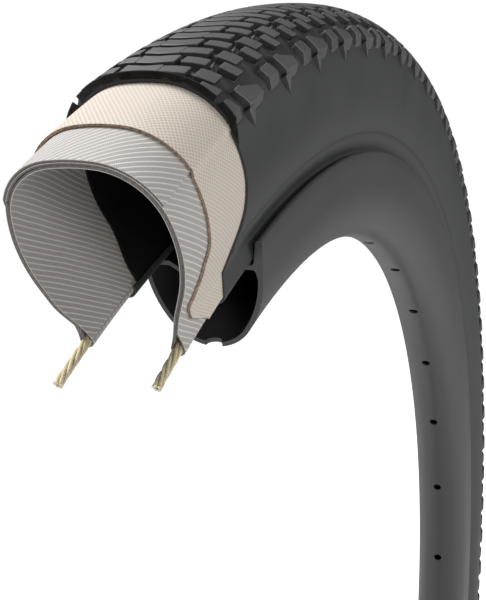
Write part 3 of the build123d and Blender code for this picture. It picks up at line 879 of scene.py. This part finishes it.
def knob_lines(block):
    """The block's outline as lines across: distance, first edge and last edge."""
    s0, s1, low, high = block["span"]
    cut = block.get("corner", 0.3)
    inner = np.linspace(s0 + cut, s1 - cut, max(2, int((s1 - s0) / 2.2) + 1))
    s = np.concatenate([[s0], inner, [s1]])
    start = np.full(len(s), float(low))
    stop = np.full(len(s), float(high))
    for ends, sign in ((start, 1), (stop, -1)):
        ends[0] += sign * cut
        ends[-1] += sign * cut
    middle = (s0 + s1) / 2
    lean = block.get("lean", 0.0) * (np.abs(s) - abs(middle))
    if "tip" in block:
        share = np.clip((np.abs(s) - block["fall"][0]) / (block["fall"][1] - block["fall"][0]), 0, 0.96)
        start = start + (block["tip"] - start) * share
        stop = stop + (block["tip"] - stop) * share
    if "notch" in block:
        side, depth, share = block["notch"]
        cutoff = low + share * (high - low)
        outer = (s - side) * np.sign(side) < 0
        stop = np.where(outer & (np.abs(s - side) < depth), np.minimum(stop, cutoff), stop)
    slant = chevron(s) + lean + block["shift"]
    return s, start + slant, stop + slant


# how far out, share of the height, painted edge highlight and painted side shade of each ring of a knob
KNOB_RINGS = ((-0.14, 1.0, 0.0, 0.0), (-0.03, 0.97, 1.0, 0.0), (0.02, 0.86, 0.0, 1.0),
              (0.16, 0.06, 0.0, 1.0), (0.45, -0.06, 0.0, 1.0))


def add_knob(store, block, round_mm):
    """Add one block to the store: a top in strips, then bevel, wall and foot rings."""
    s, start, stop = knob_lines(block)
    start, stop = start + round_mm, stop + round_mm
    loop = np.concatenate([np.stack([s, start], 1), np.stack([s, stop], 1)[::-1]])
    winding = np.sum(loop[:, 0] * np.roll(loop[:, 1], -1) - np.roll(loop[:, 0], -1) * loop[:, 1])
    grow = -1 if winding < 0 else 1
    count, first = len(loop), len(store["points"])
    top = block.get("top", KNOB_TOP)
    fall = block.get("fall", (99.0, 100.0))
    for out, share, mark, wall in KNOB_RINGS:
        ring = offset_outline(loop, grow * out)
        floor = [floor_lift(a) for a in ring[:, 0]]
        low = [min(1.0, max(0.0, (abs(a) - fall[0]) / (fall[1] - fall[0]))) for a in ring[:, 0]]
        lift = [f + (top - (top - f - 0.15) * x - f) * share for f, x in zip(floor, low)]
        store["points"] += pattern_points(ring[:, 0], ring[:, 1], lift)
        # painted highlight on the bevel ring and painted shade on the side rings
        store["edge"] += [mark] * count
        store["wall"] += [wall] * count
    lines = len(s)
    for i in range(lines - 1):
        store["faces"].append((first + i, first + i + 1, first + count - 2 - i, first + count - 1 - i))
    for ring in range(len(KNOB_RINGS) - 1):
        a, b = first + ring * count, first + (ring + 1) * count
        for i in range(count):
            k = (i + 1) % count
            store["faces"].append((a + i, b + i, b + k, a + k))


CENTRE_BLOCKS = [{"span": (-5.05, 3.95, 6.45, 11.1)}, {"span": (-3.95, 5.05, -0.18, 4.47)}]
MIDDLE_BLOCKS = [{"span": (-9.7, -4.1, -0.3, 3.65)}, {"span": (-11.5, -6.5, 6.3, 10.0)}]
OUTER_BLOCKS = [{"span": (-16.0, -11.5, -0.6, 4.2)}, {"span": (-18.2, -13.9, 7.7, 11.4)}]
SHOULDER_BLOCKS = [
    {"span": (-26.2, -20.1, 17.6, 23.4), "lean": 0.12, "corner": 0.6, "fall": (24.4, 26.2)},
    {"span": (-27.0, -19.8, 1.5, 10.3), "lean": 0.12, "corner": 0.5, "notch": (-21.0, 1.3, 0.38),
     "fall": (25.0, 27.0)},
    {"span": (-30.4, -25.2, 1.0, 4.6), "lean": 0.12, "corner": 0.3, "fall": (25.2, 30.4), "tip": 1.6,
     "top": 4.9},
]


def mirror_block(block):
    """The same block on the +Y side, half a pitch further round."""
    s0, s1, low, high = block["span"]
    other = dict(block, span=(-s1, -s0, low, high), shift=block["shift"] + HALF_PITCH_MM)
    if "notch" in block:
        side, depth, share = block["notch"]
        other["notch"] = (-side, depth, share)
    return other


def knob_row(name, blocks, every, both):
    """All the blocks of one kind round the wheel, as one piece."""
    store = {"points": [], "faces": [], "edge": [], "wall": []}
    blocks = [dict(b, shift=0.0) for b in blocks]
    blocks += [mirror_block(b) for b in blocks] if both else []
    pitch = radians(PITCH * every) * PATTERN_RADIUS
    for turn in range(-2, int(PATTERN_MM / pitch) + 1):
        for block in blocks:
            middle = turn * pitch + (block["span"][2] + block["span"][3]) / 2
            if middle > PATTERN_MM - BACK_GAP:
                continue
            add_knob(store, block, turn * pitch)
    return knob_object(name, store)


def knob_object(name, store):
    """A piece from stored knobs, without the faces that the front cut flattened."""
    points = np.array(store["points"])
    kept = []
    for face in store["faces"]:
        corners = points[list(face)]
        area = np.linalg.norm(np.cross(corners[2] - corners[0], corners[3] - corners[1]))
        if area > SLIVER:
            kept.append(face)
    used = sorted({v for f in kept for v in f})
    index = {v: i for i, v in enumerate(used)}
    faces = [tuple(index[v] for v in f) for f in kept]
    obj = mesh_object(name, points[used], faces, None, 22.0)
    give_value(obj, "edge", np.array(store["edge"])[used])
    give_value(obj, "wall", np.array(store["wall"])[used])
    return obj


def ridge_lines(name, lines):
    """Fine raised lines in the grooves, as one piece."""
    store = {"points": [], "faces": [], "edge": [], "wall": []}
    pitch = 2 * HALF_PITCH_MM
    for turn in range(-2, int(PATTERN_MM / pitch) + 1):
        for line in lines:
            for side, shift in ((1, 0.0), (-1, HALF_PITCH_MM)):
                add_ridge(store, np.array(line["points"]) * [side, 1] + [0, shift + turn * pitch], line)
    return knob_object(name, store)


def add_ridge(store, path, line):
    """Add one raised line of this width and height along a path."""
    if path[:, 1].max() > radians(PATTERN_START - BACK) * PATTERN_RADIUS:
        return
    way = np.gradient(path, axis=0)
    way /= np.linalg.norm(way, axis=1, keepdims=True)
    across = np.stack([way[:, 1], -way[:, 0]], 1) * line["width"] / 2
    first = len(store["points"])
    for out, rise in ((-1.6, -0.1), (-0.5, line["height"]), (0.5, line["height"]), (1.6, -0.1)):
        ring = path + across * out
        lift = [floor_lift(a) + rise for a in ring[:, 0]]
        store["points"] += pattern_points(ring[:, 0], ring[:, 1], lift)
        # painted highlight along the tops of the raised lines
        store["edge"] += [0.4 if rise > 0 else 0.0] * len(path)
        store["wall"] += [0.0] * len(path)
    n = len(path)
    for row in range(3):
        for i in range(n - 1):
            a = first + row * n + i
            store["faces"].append((a, a + 1, a + n + 1, a + n))


TIE_RIBS = [
    {"points": [(-6.7, 7.0), (-6.1, 10.0), (-4.7, 13.4), (-3.9, 16.7), (-2.3, 19.4)], "width": 0.5,
     "height": 0.3},
    {"points": [(-14.2, 9.2), (-13.3, 10.6), (-12.0, 14.5), (-11.2, 18.3), (-10.3, 20.8)], "width": 0.5,
     "height": 0.3},
]


# ====================================================================================
# Bead cords
# ====================================================================================
STRANDS = 5
LAY = 19.0                   # length of one turn of the twist
STRAND_SHARE = 0.37          # of the cord's radius, for one strand
FRONT_HEART, BACK_HEART = 0.30, 1 / 3    # of the cord's radius, for its straight middle strand
TWISTED = 7.0                # degrees of twisted cord behind its front end; the back has half of it


def tube_faces(store, first, sides, lengths, end_slot):
    """Faces of a closed tube from rings of points, with its ends in a slot of their own."""
    for step in range(lengths):
        a, b = first + step * sides, first + (step + 1) * sides
        for k in range(sides):
            store["faces"].append((a + k, a + (k + 1) % sides, b + (k + 1) % sides, b + k))
            store["slots"].append(0)
    last = first + lengths * sides
    store["faces"] += [tuple(first + k for k in reversed(range(sides))),
                       tuple(last + k for k in range(sides))]
    store["slots"] += [end_slot, end_slot]


def strand(store, side, front, back, index, inset):
    """One strand wound round the cord's line between two angles."""
    strand_r, sides = CORD_R * STRAND_SHARE, 8
    ring_r = CORD_R - strand_r
    length = radians(front - back) * BEAD_RADIUS
    steps = max(8, int(length / 0.55))
    first = len(store["points"])
    for step in range(steps + 1):
        share = step / steps
        theta = radians(front - inset + (back - front + inset) * share)
        turn = 2 * pi * (length * share / LAY + index / STRANDS)
        centre = np.array([BEAD_R + ring_r * cos(turn), side * BEAD_Y + ring_r * sin(turn)])
        for k in range(sides):
            a = 2 * pi * k / sides
            r, y = centre[0] + strand_r * cos(a), centre[1] + strand_r * sin(a)
            store["points"].append((r * cos(theta), y, r * sin(theta)))
            store["strand"].append((share * length * 0.25, a * 2.6 + index * 7, index * 3.0))
    tube_faces(store, first, sides, steps, 1)


def plain_strand(store, side, front, back, radius, step):
    """A straight round strand on the cord's own line."""
    count = max(2, int((front - back) / step) + 1)
    sides, first = 12, len(store["points"])
    for j, theta in enumerate(np.radians(np.linspace(front, back, count))):
        for k in range(sides):
            a = 2 * pi * k / sides
            r, y = BEAD_R + radius * cos(a), side * BEAD_Y + radius * sin(a)
            store["points"].append((r * cos(theta), y, r * sin(theta)))
            store["strand"].append((j * 1.2, a * 2.0, 0.0))
    tube_faces(store, first, sides, count - 1, 2)


def bead_cord(side, name):
    """A cord: twisted strands at both ends of the ring, plain where it is hidden."""
    store = {"points": [], "faces": [], "slots": [], "strand": []}
    front = CORD_FRONT[side]
    near, far = front - TWISTED, BACK + TWISTED / 2
    for index in range(STRANDS):
        strand(store, side, front, near, index, 0.02 * (index % 3))
        strand(store, side, far, BACK, index, 0.0)
    plain_strand(store, side, front - 0.15, near, CORD_R * FRONT_HEART, 1.0)
    plain_strand(store, side, near, far, CORD_R, 1.5)
    plain_strand(store, side, far, BACK, CORD_R * BACK_HEART, 1.0)
    obj = mesh_object(name, store["points"], store["faces"], store["slots"], 50.0)
    give_vector(obj, "strand", store["strand"])
    return obj


# ====================================================================================
# Rim
# ====================================================================================
def wall_points(inset, apex_count=20, wall_count=16):
    """Outer wall from the apex up to the side, inset towards the hollow."""
    apex_r, radius = RIM_APEX + APEX_ARC, APEX_ARC - inset
    points = [(apex_r - radius * cos(radians(a)), radius * sin(radians(a)))
              for a in np.linspace(0, APEX_TURN, apex_count)]
    turn = radians(APEX_TURN)
    join = (apex_r - APEX_ARC * cos(turn), APEX_ARC * sin(turn))
    centre = (join[0] + WALL_ARC * cos(turn), join[1] - WALL_ARC * sin(turn))
    size = WALL_ARC - inset
    for a in np.linspace(0, WALL_TURN, wall_count)[1:]:
        angle = radians(APEX_TURN + a)
        points.append((centre[0] - size * cos(angle), centre[1] + size * sin(angle)))
    return points


def spread(points, counts):
    """Points along straight spans, this many steps on each."""
    made = [points[0]]
    for a, b, count in zip(points, points[1:], counts):
        made += [(a[0] + (b[0] - a[0]) * t, a[1] + (b[1] - a[1]) * t)
                 for t in np.linspace(0, 1, count + 1)[1:]]
    return made


def rim():
    """Hollow rim with hooked edges and a centre channel."""
    outer, hollow = wall_points(0.0), wall_points(RIM_WALL)
    hook = [outer[-1], (HOOK_RADIUS - 1.2, HOOK_OUTER_Y), (HOOK_RADIUS - 0.45, HOOK_OUTER_Y - 0.15),
            (HOOK_RADIUS, HOOK_OUTER_Y - 0.6), (HOOK_RADIUS, HOOK_INNER_Y + 0.35),
            (HOOK_RADIUS - 0.35, HOOK_INNER_Y - 0.02), (HOOK_RADIUS - 0.9, HOOK_INNER_Y - 0.2),
            (SEAT_RADIUS + 0.9, SEAT_OUTER_Y + 0.1), (SEAT_RADIUS + 0.2, SEAT_OUTER_Y - 0.2),
            (SEAT_RADIUS, SEAT_OUTER_Y - 0.6), (SEAT_RADIUS, SEAT_INNER_Y + 0.4),
            (SEAT_RADIUS - 0.3, SEAT_INNER_Y), (CHANNEL_RADIUS + 0.3, CHANNEL_HALF_WIDTH + 0.3),
            (CHANNEL_RADIUS, CHANNEL_HALF_WIDTH - 0.3), (CHANNEL_RADIUS, 0)]
    roof_r = SEAT_RADIUS - BED_WALL
    corner = (roof_r - 0.8, SEAT_OUTER_Y + 0.35)
    roof = [hollow[-1]] + [corner] * 7 + [(roof_r - 0.1, SEAT_OUTER_Y - 0.1), (roof_r, SEAT_OUTER_Y - 0.7),
            (roof_r, SEAT_INNER_Y + 0.6), (roof_r - 0.3, SEAT_INNER_Y + 0.2),
            (CHANNEL_RADIUS - BED_WALL + 0.3, CHANNEL_HALF_WIDTH + 0.6),
            (CHANNEL_RADIUS - BED_WALL, CHANNEL_HALF_WIDTH), (CHANNEL_RADIUS - BED_WALL, 0)]
    counts = [3, 1, 1, 2, 1, 1, 4, 1, 1, 5, 1, 5, 1, 4]
    outer = outer[:-1] + spread(hook, counts)
    hollow = hollow[:-1] + rim_roof(roof, counts)
    rows = []
    for half in (outer, hollow):
        whole = [(r, -y) for r, y in reversed(half)][:-1] + half[:-1]
        rows.append([(r, y, float(i)) for i, (r, y) in enumerate(whole)])
    return sweep("rim_shell", rows[1], rows[0], RIM_FRONT, RIM_STEP, closed=True, smooth_angle=RIM_SMOOTH)


def rim_roof(points, counts):
    """The hollow's roof, with its corner points spread a little so that none coincide."""
    made = [points[0]]
    for a, b, count in zip(points, points[1:], counts):
        for t in np.linspace(0, 1, count + 1)[1:]:
            made.append((a[0] + (b[0] - a[0]) * t + 0.012 * len(made) * (a == b),
                         a[1] + (b[1] - a[1]) * t - 0.004 * len(made) * (a == b)))
    return made


def radial(angle, height):
    """Matrix that stands a shape on the wheel at this radius, its +Z to the axle."""
    a = radians(angle)
    inward = Vector((-cos(a), 0, -sin(a)))
    side = Vector((0, 1, 0))
    across = side.cross(inward)
    turn = Matrix((across, side, inward)).transposed().to_4x4()
    return Matrix.Translation(Vector((cos(a), 0, sin(a))) * height * MM) @ turn


def cylinder_cutter(radius, depth, sides=28):
    """Points and faces of a closed round cutter along +Z, in millimetres."""
    ring = [(radius * cos(2 * pi * k / sides), radius * sin(2 * pi * k / sides)) for k in range(sides)]
    points = [(x, y, 0.0) for x, y in ring] + [(x, y, depth) for x, y in ring]
    faces = [(k, (k + 1) % sides, sides + (k + 1) % sides, sides + k) for k in range(sides)]
    faces += [tuple(reversed(range(sides))), tuple(range(sides, 2 * sides))]
    return points, faces


def hole_cutters(holes):
    """One object from many round cutters, each (angle, outer radius, depth, hole radius)."""
    points, faces = [], []
    for angle, outer, depth, hole_r in holes:
        shape, quads = cylinder_cutter(hole_r, depth)
        turn, first = radial(angle, outer), len(points)
        points += [tuple(v / MM for v in turn @ (Vector(p) * MM)) for p in shape]
        faces += [tuple(first + v for v in f) for f in quads]
    return mesh_object("hole_cutters", points, faces)


def cut_away(obj, cutter):
    """Cut one object from another and remove the cutter."""
    modifier = obj.modifiers.new("holes", "BOOLEAN")
    modifier.operation = "DIFFERENCE"
    modifier.solver = "EXACT"
    modifier.object = cutter
    graph = bpy.context.evaluated_depsgraph_get()
    mesh = bpy.data.meshes.new_from_object(obj.evaluated_get(graph))
    obj.modifiers.clear()
    old = obj.data
    obj.data = mesh
    bpy.data.meshes.remove(old)
    bpy.data.objects.remove(cutter)


def drilled_rim():
    """The rim with its spoke, access and valve holes."""
    shell = rim()
    pitch = 360.0 / SPOKES
    angles = [RIM_FRONT - pitch * k for k in range(SPOKES) if RIM_FRONT - pitch * k > BACK + 1]
    holes = [(VALVE_ANGLE, SEAT_RADIUS + 2, 40, VALVE_HOLE_R)]
    for angle in angles:
        holes.append((angle, RIM_APEX + 6, 12, SPOKE_HOLE_R))
        holes.append((angle, SEAT_RADIUS + 2, 8, ACCESS_HOLE_R))
    cut_away(shell, hole_cutters(holes))
    shell.data.set_sharp_from_angle(angle=radians(RIM_SMOOTH))
    return shell


# ====================================================================================
# Valve
# ====================================================================================
STEM_R, STEM_LENGTH = 3.0, 44.0
BED_HEIGHT = RIM_APEX - CHANNEL_RADIUS
BASE_TOP = BED_HEIGHT - 0.17
CORE_FACE = STEM_LENGTH + 3.0
NUT_FOOT, NUT_LENGTH, NUT_R = 2.15, 5.0, 6.0
PIN_TOP = 52.3
CAP_FOOT, CAP_LENGTH, CAP_R = STEM_LENGTH - 8.0, 18.5, 4.0
FINGER_FOOT, FINGER_LENGTH, FINGER_R = CORE_FACE + 2.3, 2.2, 1.9


def turned(name, profile, segments, grip):
    """A piece turned about +Z from (radius, z, gripped) points, as a closed loop.

    grip is (count, depth): the gripped points sink in that many grooves.
    """
    points, faces, count = [], [], len(profile)
    for k in range(segments):
        a = 2 * pi * k / segments
        dip = 0.0 if grip is None else grip[1] * max(0.0, cos(a * grip[0])) ** 2
        for radius, z, held in profile:
            r = radius - dip * held
            points.append((r * cos(a), r * sin(a), z))
    for k in range(segments):
        a, b = k * count, (k + 1) % segments * count
        faces += [(a + i, b + i, b + (i + 1) % count, a + (i + 1) % count) for i in range(count)]
    turn = radial(VALVE_ANGLE, RIM_APEX)
    placed = [tuple(v / MM for v in turn @ (Vector(p) * MM)) for p in points]
    return mesh_object(name, placed, faces)


def thread_profile(radius, depth, pitch, low, high):
    """Points of a fine thread's outline between two heights."""
    points, z = [], low
    while z < high - pitch:
        points += [(radius, z, 0), (radius - depth, z + pitch / 2, 0)]
        z += pitch
    return points + [(radius, high, 0)]


def valve_pieces():
    """Every valve piece with its body, slot and material."""
    foot = BASE_TOP - 3.2
    stem = ([(1.5, foot, 0), (3.9, foot, 0), (4.2, foot + 0.3, 0), (4.2, foot + 1.0, 0), (4.0, foot + 1.2, 0),
             (STEM_R, foot + 1.3, 0), (STEM_R, -2.0, 0)]
            + thread_profile(STEM_R, 0.28, 0.75, -1.5, STEM_LENGTH - 0.6)
            + [(STEM_R - 0.4, STEM_LENGTH, 0), (2.1, STEM_LENGTH, 0), (2.1, STEM_LENGTH - 14, 0),
               (1.5, STEM_LENGTH - 14.4, 0)])
    seal = [(3.03, BASE_TOP - 2, 0), (4.6, BASE_TOP - 2, 0), (4.8, BASE_TOP - 1.8, 0),
            (4.2, BASE_TOP - 1.0, 0), (3.55, BASE_TOP - 0.15, 0), (3.4, BASE_TOP, 0), (3.03, BASE_TOP, 0)]
    ring = [(STEM_R + 1.05 - cos(a), 1.05 - sin(a), 0) for a in np.linspace(0, 2 * pi, 21)[:-1]]
    nut = [(3.06, NUT_FOOT + 0.3, 0), (3.4, NUT_FOOT, 0), (5.4, NUT_FOOT, 0), (5.8, NUT_FOOT + 0.35, 1),
           (NUT_R, NUT_FOOT + 0.8, 1), (NUT_R, NUT_FOOT + 4.0, 1), (5.6, NUT_FOOT + 4.6, 1),
           (5.1, NUT_FOOT + NUT_LENGTH, 0), (3.4, NUT_FOOT + NUT_LENGTH, 0), (3.06, NUT_FOOT + 4.7, 0)]
    low = STEM_LENGTH - 13.7
    core = ([(0.81, low, 0), (1.7, low, 0), (2.05, low + 0.6, 0), (2.05, STEM_LENGTH - 4, 0)]
            + thread_profile(2.05, 0.18, 0.5, STEM_LENGTH - 3.5, STEM_LENGTH + 1.2)
            + [(1.85, STEM_LENGTH + 1.5, 0), (1.85, CORE_FACE - 0.3, 0), (1.6, CORE_FACE, 0),
               (0.81, CORE_FACE, 0)])
    pin_low = STEM_LENGTH - 14.0
    pin = ([(0.01, pin_low - 2, 0), (1.05, pin_low - 2, 0), (1.25, pin_low - 1.8, 0),
            (1.25, pin_low - 1.05, 0), (1.1, pin_low - 0.9, 0), (0.75, pin_low - 0.88, 0),
            (0.75, CORE_FACE + 0.4, 0)]
           + thread_profile(0.75, 0.1, 0.35, CORE_FACE + 0.6, PIN_TOP - 0.7)
           + [(0.75, PIN_TOP - 0.4, 0), (0.45, PIN_TOP, 0), (0.01, PIN_TOP, 0)])
    washer = [(0.8, pin_low - 0.84, 0), (1.2, pin_low - 0.84, 0), (1.3, pin_low - 0.7, 0),
              (1.3, pin_low + 0.1, 0), (1.15, pin_low + 0.25, 0), (0.8, pin_low + 0.25, 0)]
    finger = [(0.81, FINGER_FOOT, 0), (1.5, FINGER_FOOT, 0), (1.8, FINGER_FOOT + 0.25, 1),
              (FINGER_R, FINGER_FOOT + 0.5, 1), (FINGER_R, FINGER_FOOT + 1.7, 1),
              (1.75, FINGER_FOOT + 2.0, 1),
              (1.4, FINGER_FOOT + FINGER_LENGTH, 0), (0.81, FINGER_FOOT + FINGER_LENGTH, 0)]
    top = CAP_FOOT + CAP_LENGTH
    cap = ([(3.06, CAP_FOOT + 0.2, 0), (3.25, CAP_FOOT, 0), (3.8, CAP_FOOT, 0), (CAP_R, CAP_FOOT + 0.25, 0),
            (CAP_R, CAP_FOOT + 1.4, 0), (3.9, CAP_FOOT + 1.6, 1), (3.9, top - 4.0, 1), (3.85, top - 3.4, 0.5)]
           + [(2.3 + 1.5 * cos(a), top - 1.6 + 1.6 * sin(a), 0) for a in np.linspace(0.1, pi / 2, 8)]
           + [(0.01, top, 0), (0.01, top - 1.2, 0), (2.2, top - 1.2, 0), (2.5, top - 1.5, 0),
              (2.5, STEM_LENGTH + 0.9, 0), (3.06, STEM_LENGTH + 0.5, 0)])
    return [
        ("valve_stem", stem, None, "root", "valve_metal", STEEL),
        ("valve_base_seal", seal, None, "root", "seal_rubber", SEAL_RUBBER),
        ("valve_o_ring", ring, None, "root", "seal_rubber", SEAL_RUBBER),
        ("valve_lock_nut", nut, (24, 0.32), "lock_nut", "nut_metal", BLACK_METAL),
        ("valve_core", core, None, "root", "core_brass", BRASS),
        ("valve_core_pin", pin, None, "pin", "core_brass", BRASS),
        ("valve_core_seal", washer, None, "pin", "seal_rubber", SEAL_RUBBER),
        ("valve_finger_nut", finger, (14, 0.18), "finger_nut", "core_brass", BRASS),
        ("valve_cap", cap, (16, 0.25), "cap", "cap_plastic", CAP_PLASTIC),
    ]


def build_valve():
    """All the valve pieces, each in place of its plain node."""
    for name, profile, grip, body, slot, material in valve_pieces():
        segments = 48 if grip is None else grip[0] * 8
        piece = turned(name + "_piece", profile, segments, grip)
        finish_piece(piece, body, slot, [material], name)


def build_tire():
    """Every layer of the tire, riding on the root body."""
    cloth = finish_piece(casing(), "root", "casing_fabric", [CASING, CASING_CUT], "casing_ply")
    cover = finish_piece(protection(), "root", "protection_fabric", [PROTECTION_CLOTH, PROTECTION_CUT],
                         "protection_layer")
    finish_piece(liner(), "root", "liner_rubber", [LINER_RUBBER, LINER_RUBBER], "inner_liner")
    for name, wall in sidewalls().items():
        finish_piece(wall, "root", "sidewall_rubber", [SIDEWALL, CUT_RUBBER], name)
    finish_piece(tread_base(), "root", "tread_rubber", [GROOVE_RUBBER, CUT_RUBBER], "tread_cap")
    rows = (("centre_blocks", CENTRE_BLOCKS, 1, False), ("middle_blocks", MIDDLE_BLOCKS, 1, True),
            ("outer_blocks", OUTER_BLOCKS, 1, True), ("shoulder_blocks", SHOULDER_BLOCKS, 2, True))
    for name, blocks, every, both in rows:
        finish_piece(knob_row(name, blocks, every, both), "root", "tread_rubber", [TREAD])
    finish_piece(ridge_lines("tie_ribs", TIE_RIBS), "root", "tread_rubber", [TREAD])
    for side, name in ((1, "bead_core_left"), (-1, "bead_core_right")):
        finish_piece(bead_cord(side, name + "_cord"), "root", "bead_cord",
                                  [CORD, CORD_END, FILLER_RUBBER], name)


def paint_node(name, material):
    """Give a carried-over node its material."""
    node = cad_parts[name]
    node.data.materials.clear()
    node.data.materials.append(material)


def build_rim():
    """The rim and the parts that stay as they are."""
    finish_piece(drilled_rim(), "root", "rim_carbon", [CARBON, CARBON], "rim_shell")
    paint_node("rim_tape", TAPE)
    paint_node("bead_filler_left", FILLER_RUBBER)
    paint_node("bead_filler_right", FILLER_RUBBER)


# ====================================================================================
# Studio
# ====================================================================================
FLOOR_HALF, FLOOR_GAP = 9000.0, 0.5
CAMERA_PLACE, CAMERA_WAY, LENS = (-0.3205, -0.0959, 0.3281), (0.9155, 0.3566, -0.1863), 57.7


def area_light(name, where, target, size, power):
    """A large soft light that faces a target, in metres and watts."""
    data = bpy.data.lights.new(name, "AREA")
    data.shape = "DISK"
    data.size = size
    data.energy = power
    light = bpy.data.objects.new(name, data)
    light.location = where
    light.rotation_euler = (Vector(target) - Vector(where)).to_track_quat("-Z", "Y").to_euler()
    bpy.context.scene.collection.objects.link(light)


def pale_floor():
    """A plain floor under the tread."""
    half, z = FLOOR_HALF, CAD_BOX[0][2] / MM - FLOOR_GAP
    floor = mesh_object("floor", [(-half, -half, z), (half, -half, z), (half, half, z), (-half, half, z)],
                        [(0, 1, 2, 3)])
    material, n, shader = new_material("pale_floor", 0.9, 0.1)
    tone = n.noise(n.place(), 2.0, 2.0)
    n.feed(shader.inputs["Base Color"], n.blend(tone, (0.86, 0.86, 0.86, 1), (0.90, 0.90, 0.90, 1)))
    shader.inputs["Emission Color"].default_value = (1, 1, 1, 1)
    seen = n.add("ShaderNodeLightPath").outputs["Is Camera Ray"]
    n.feed(shader.inputs["Emission Strength"], n.ramp(seen, 0.0, 1.0, 0.12, 0.9))
    floor.data.materials.append(material)


def studio():
    """Pale floor, white surroundings and large soft lights."""
    pale_floor()
    world = bpy.data.worlds.new("studio")
    world.use_nodes = True
    n = Nodes(world.node_tree)
    shown = world.node_tree.nodes["Background"]
    shown.inputs["Color"].default_value = (1, 1, 1, 1)
    shown.inputs["Strength"].default_value = 1.05
    lit = n.add("ShaderNodeBackground")
    lit.inputs["Color"].default_value = (0.97, 0.985, 1.0, 1)
    lit.inputs["Strength"].default_value = 0.16
    mix = n.add("ShaderNodeMixShader")
    n.feed(mix.inputs[0], n.add("ShaderNodeLightPath").outputs["Is Camera Ray"])
    n.feed(mix.inputs[1], lit.outputs[0])
    n.feed(mix.inputs[2], shown.outputs[0])
    n.feed(world.node_tree.nodes["World Output"].inputs["Surface"], mix.outputs[0])
    bpy.context.scene.world = world
    target = (-0.10, 0.0, 0.30)
    area_light("key", (-0.15, 0.80, 1.45), target, 0.7, 33.5)
    area_light("fill", (-1.3, -0.9, 0.75), target, 0.7, 10.0)
    area_light("side", (0.5, -1.6, 0.75), (0.0, 0.0, 0.15), 0.8, 12.0)
    bpy.context.scene.view_settings.view_transform = "Standard"
    bpy.context.scene.view_settings.look = "None"


def camera():
    """The camera, close to the cut end and looking forward and a little down."""
    data = bpy.data.cameras.new("camera")
    data.sensor_width = 36.0
    data.lens = LENS
    data.clip_start = 0.01
    cam = bpy.data.objects.new("camera", data)
    forward = Vector(CAMERA_WAY).normalized()
    right = forward.cross(Vector((0, 0, 1))).normalized()
    up = right.cross(forward)
    turn = Matrix((right, up, -forward)).transposed().to_4x4()
    cam.matrix_world = Matrix.Translation(CAMERA_PLACE) @ turn
    bpy.context.scene.collection.objects.link(cam)
    bpy.context.scene.camera = cam


build_tire()
build_rim()
build_valve()
studio()
camera()

bpy.context.view_layer.update()
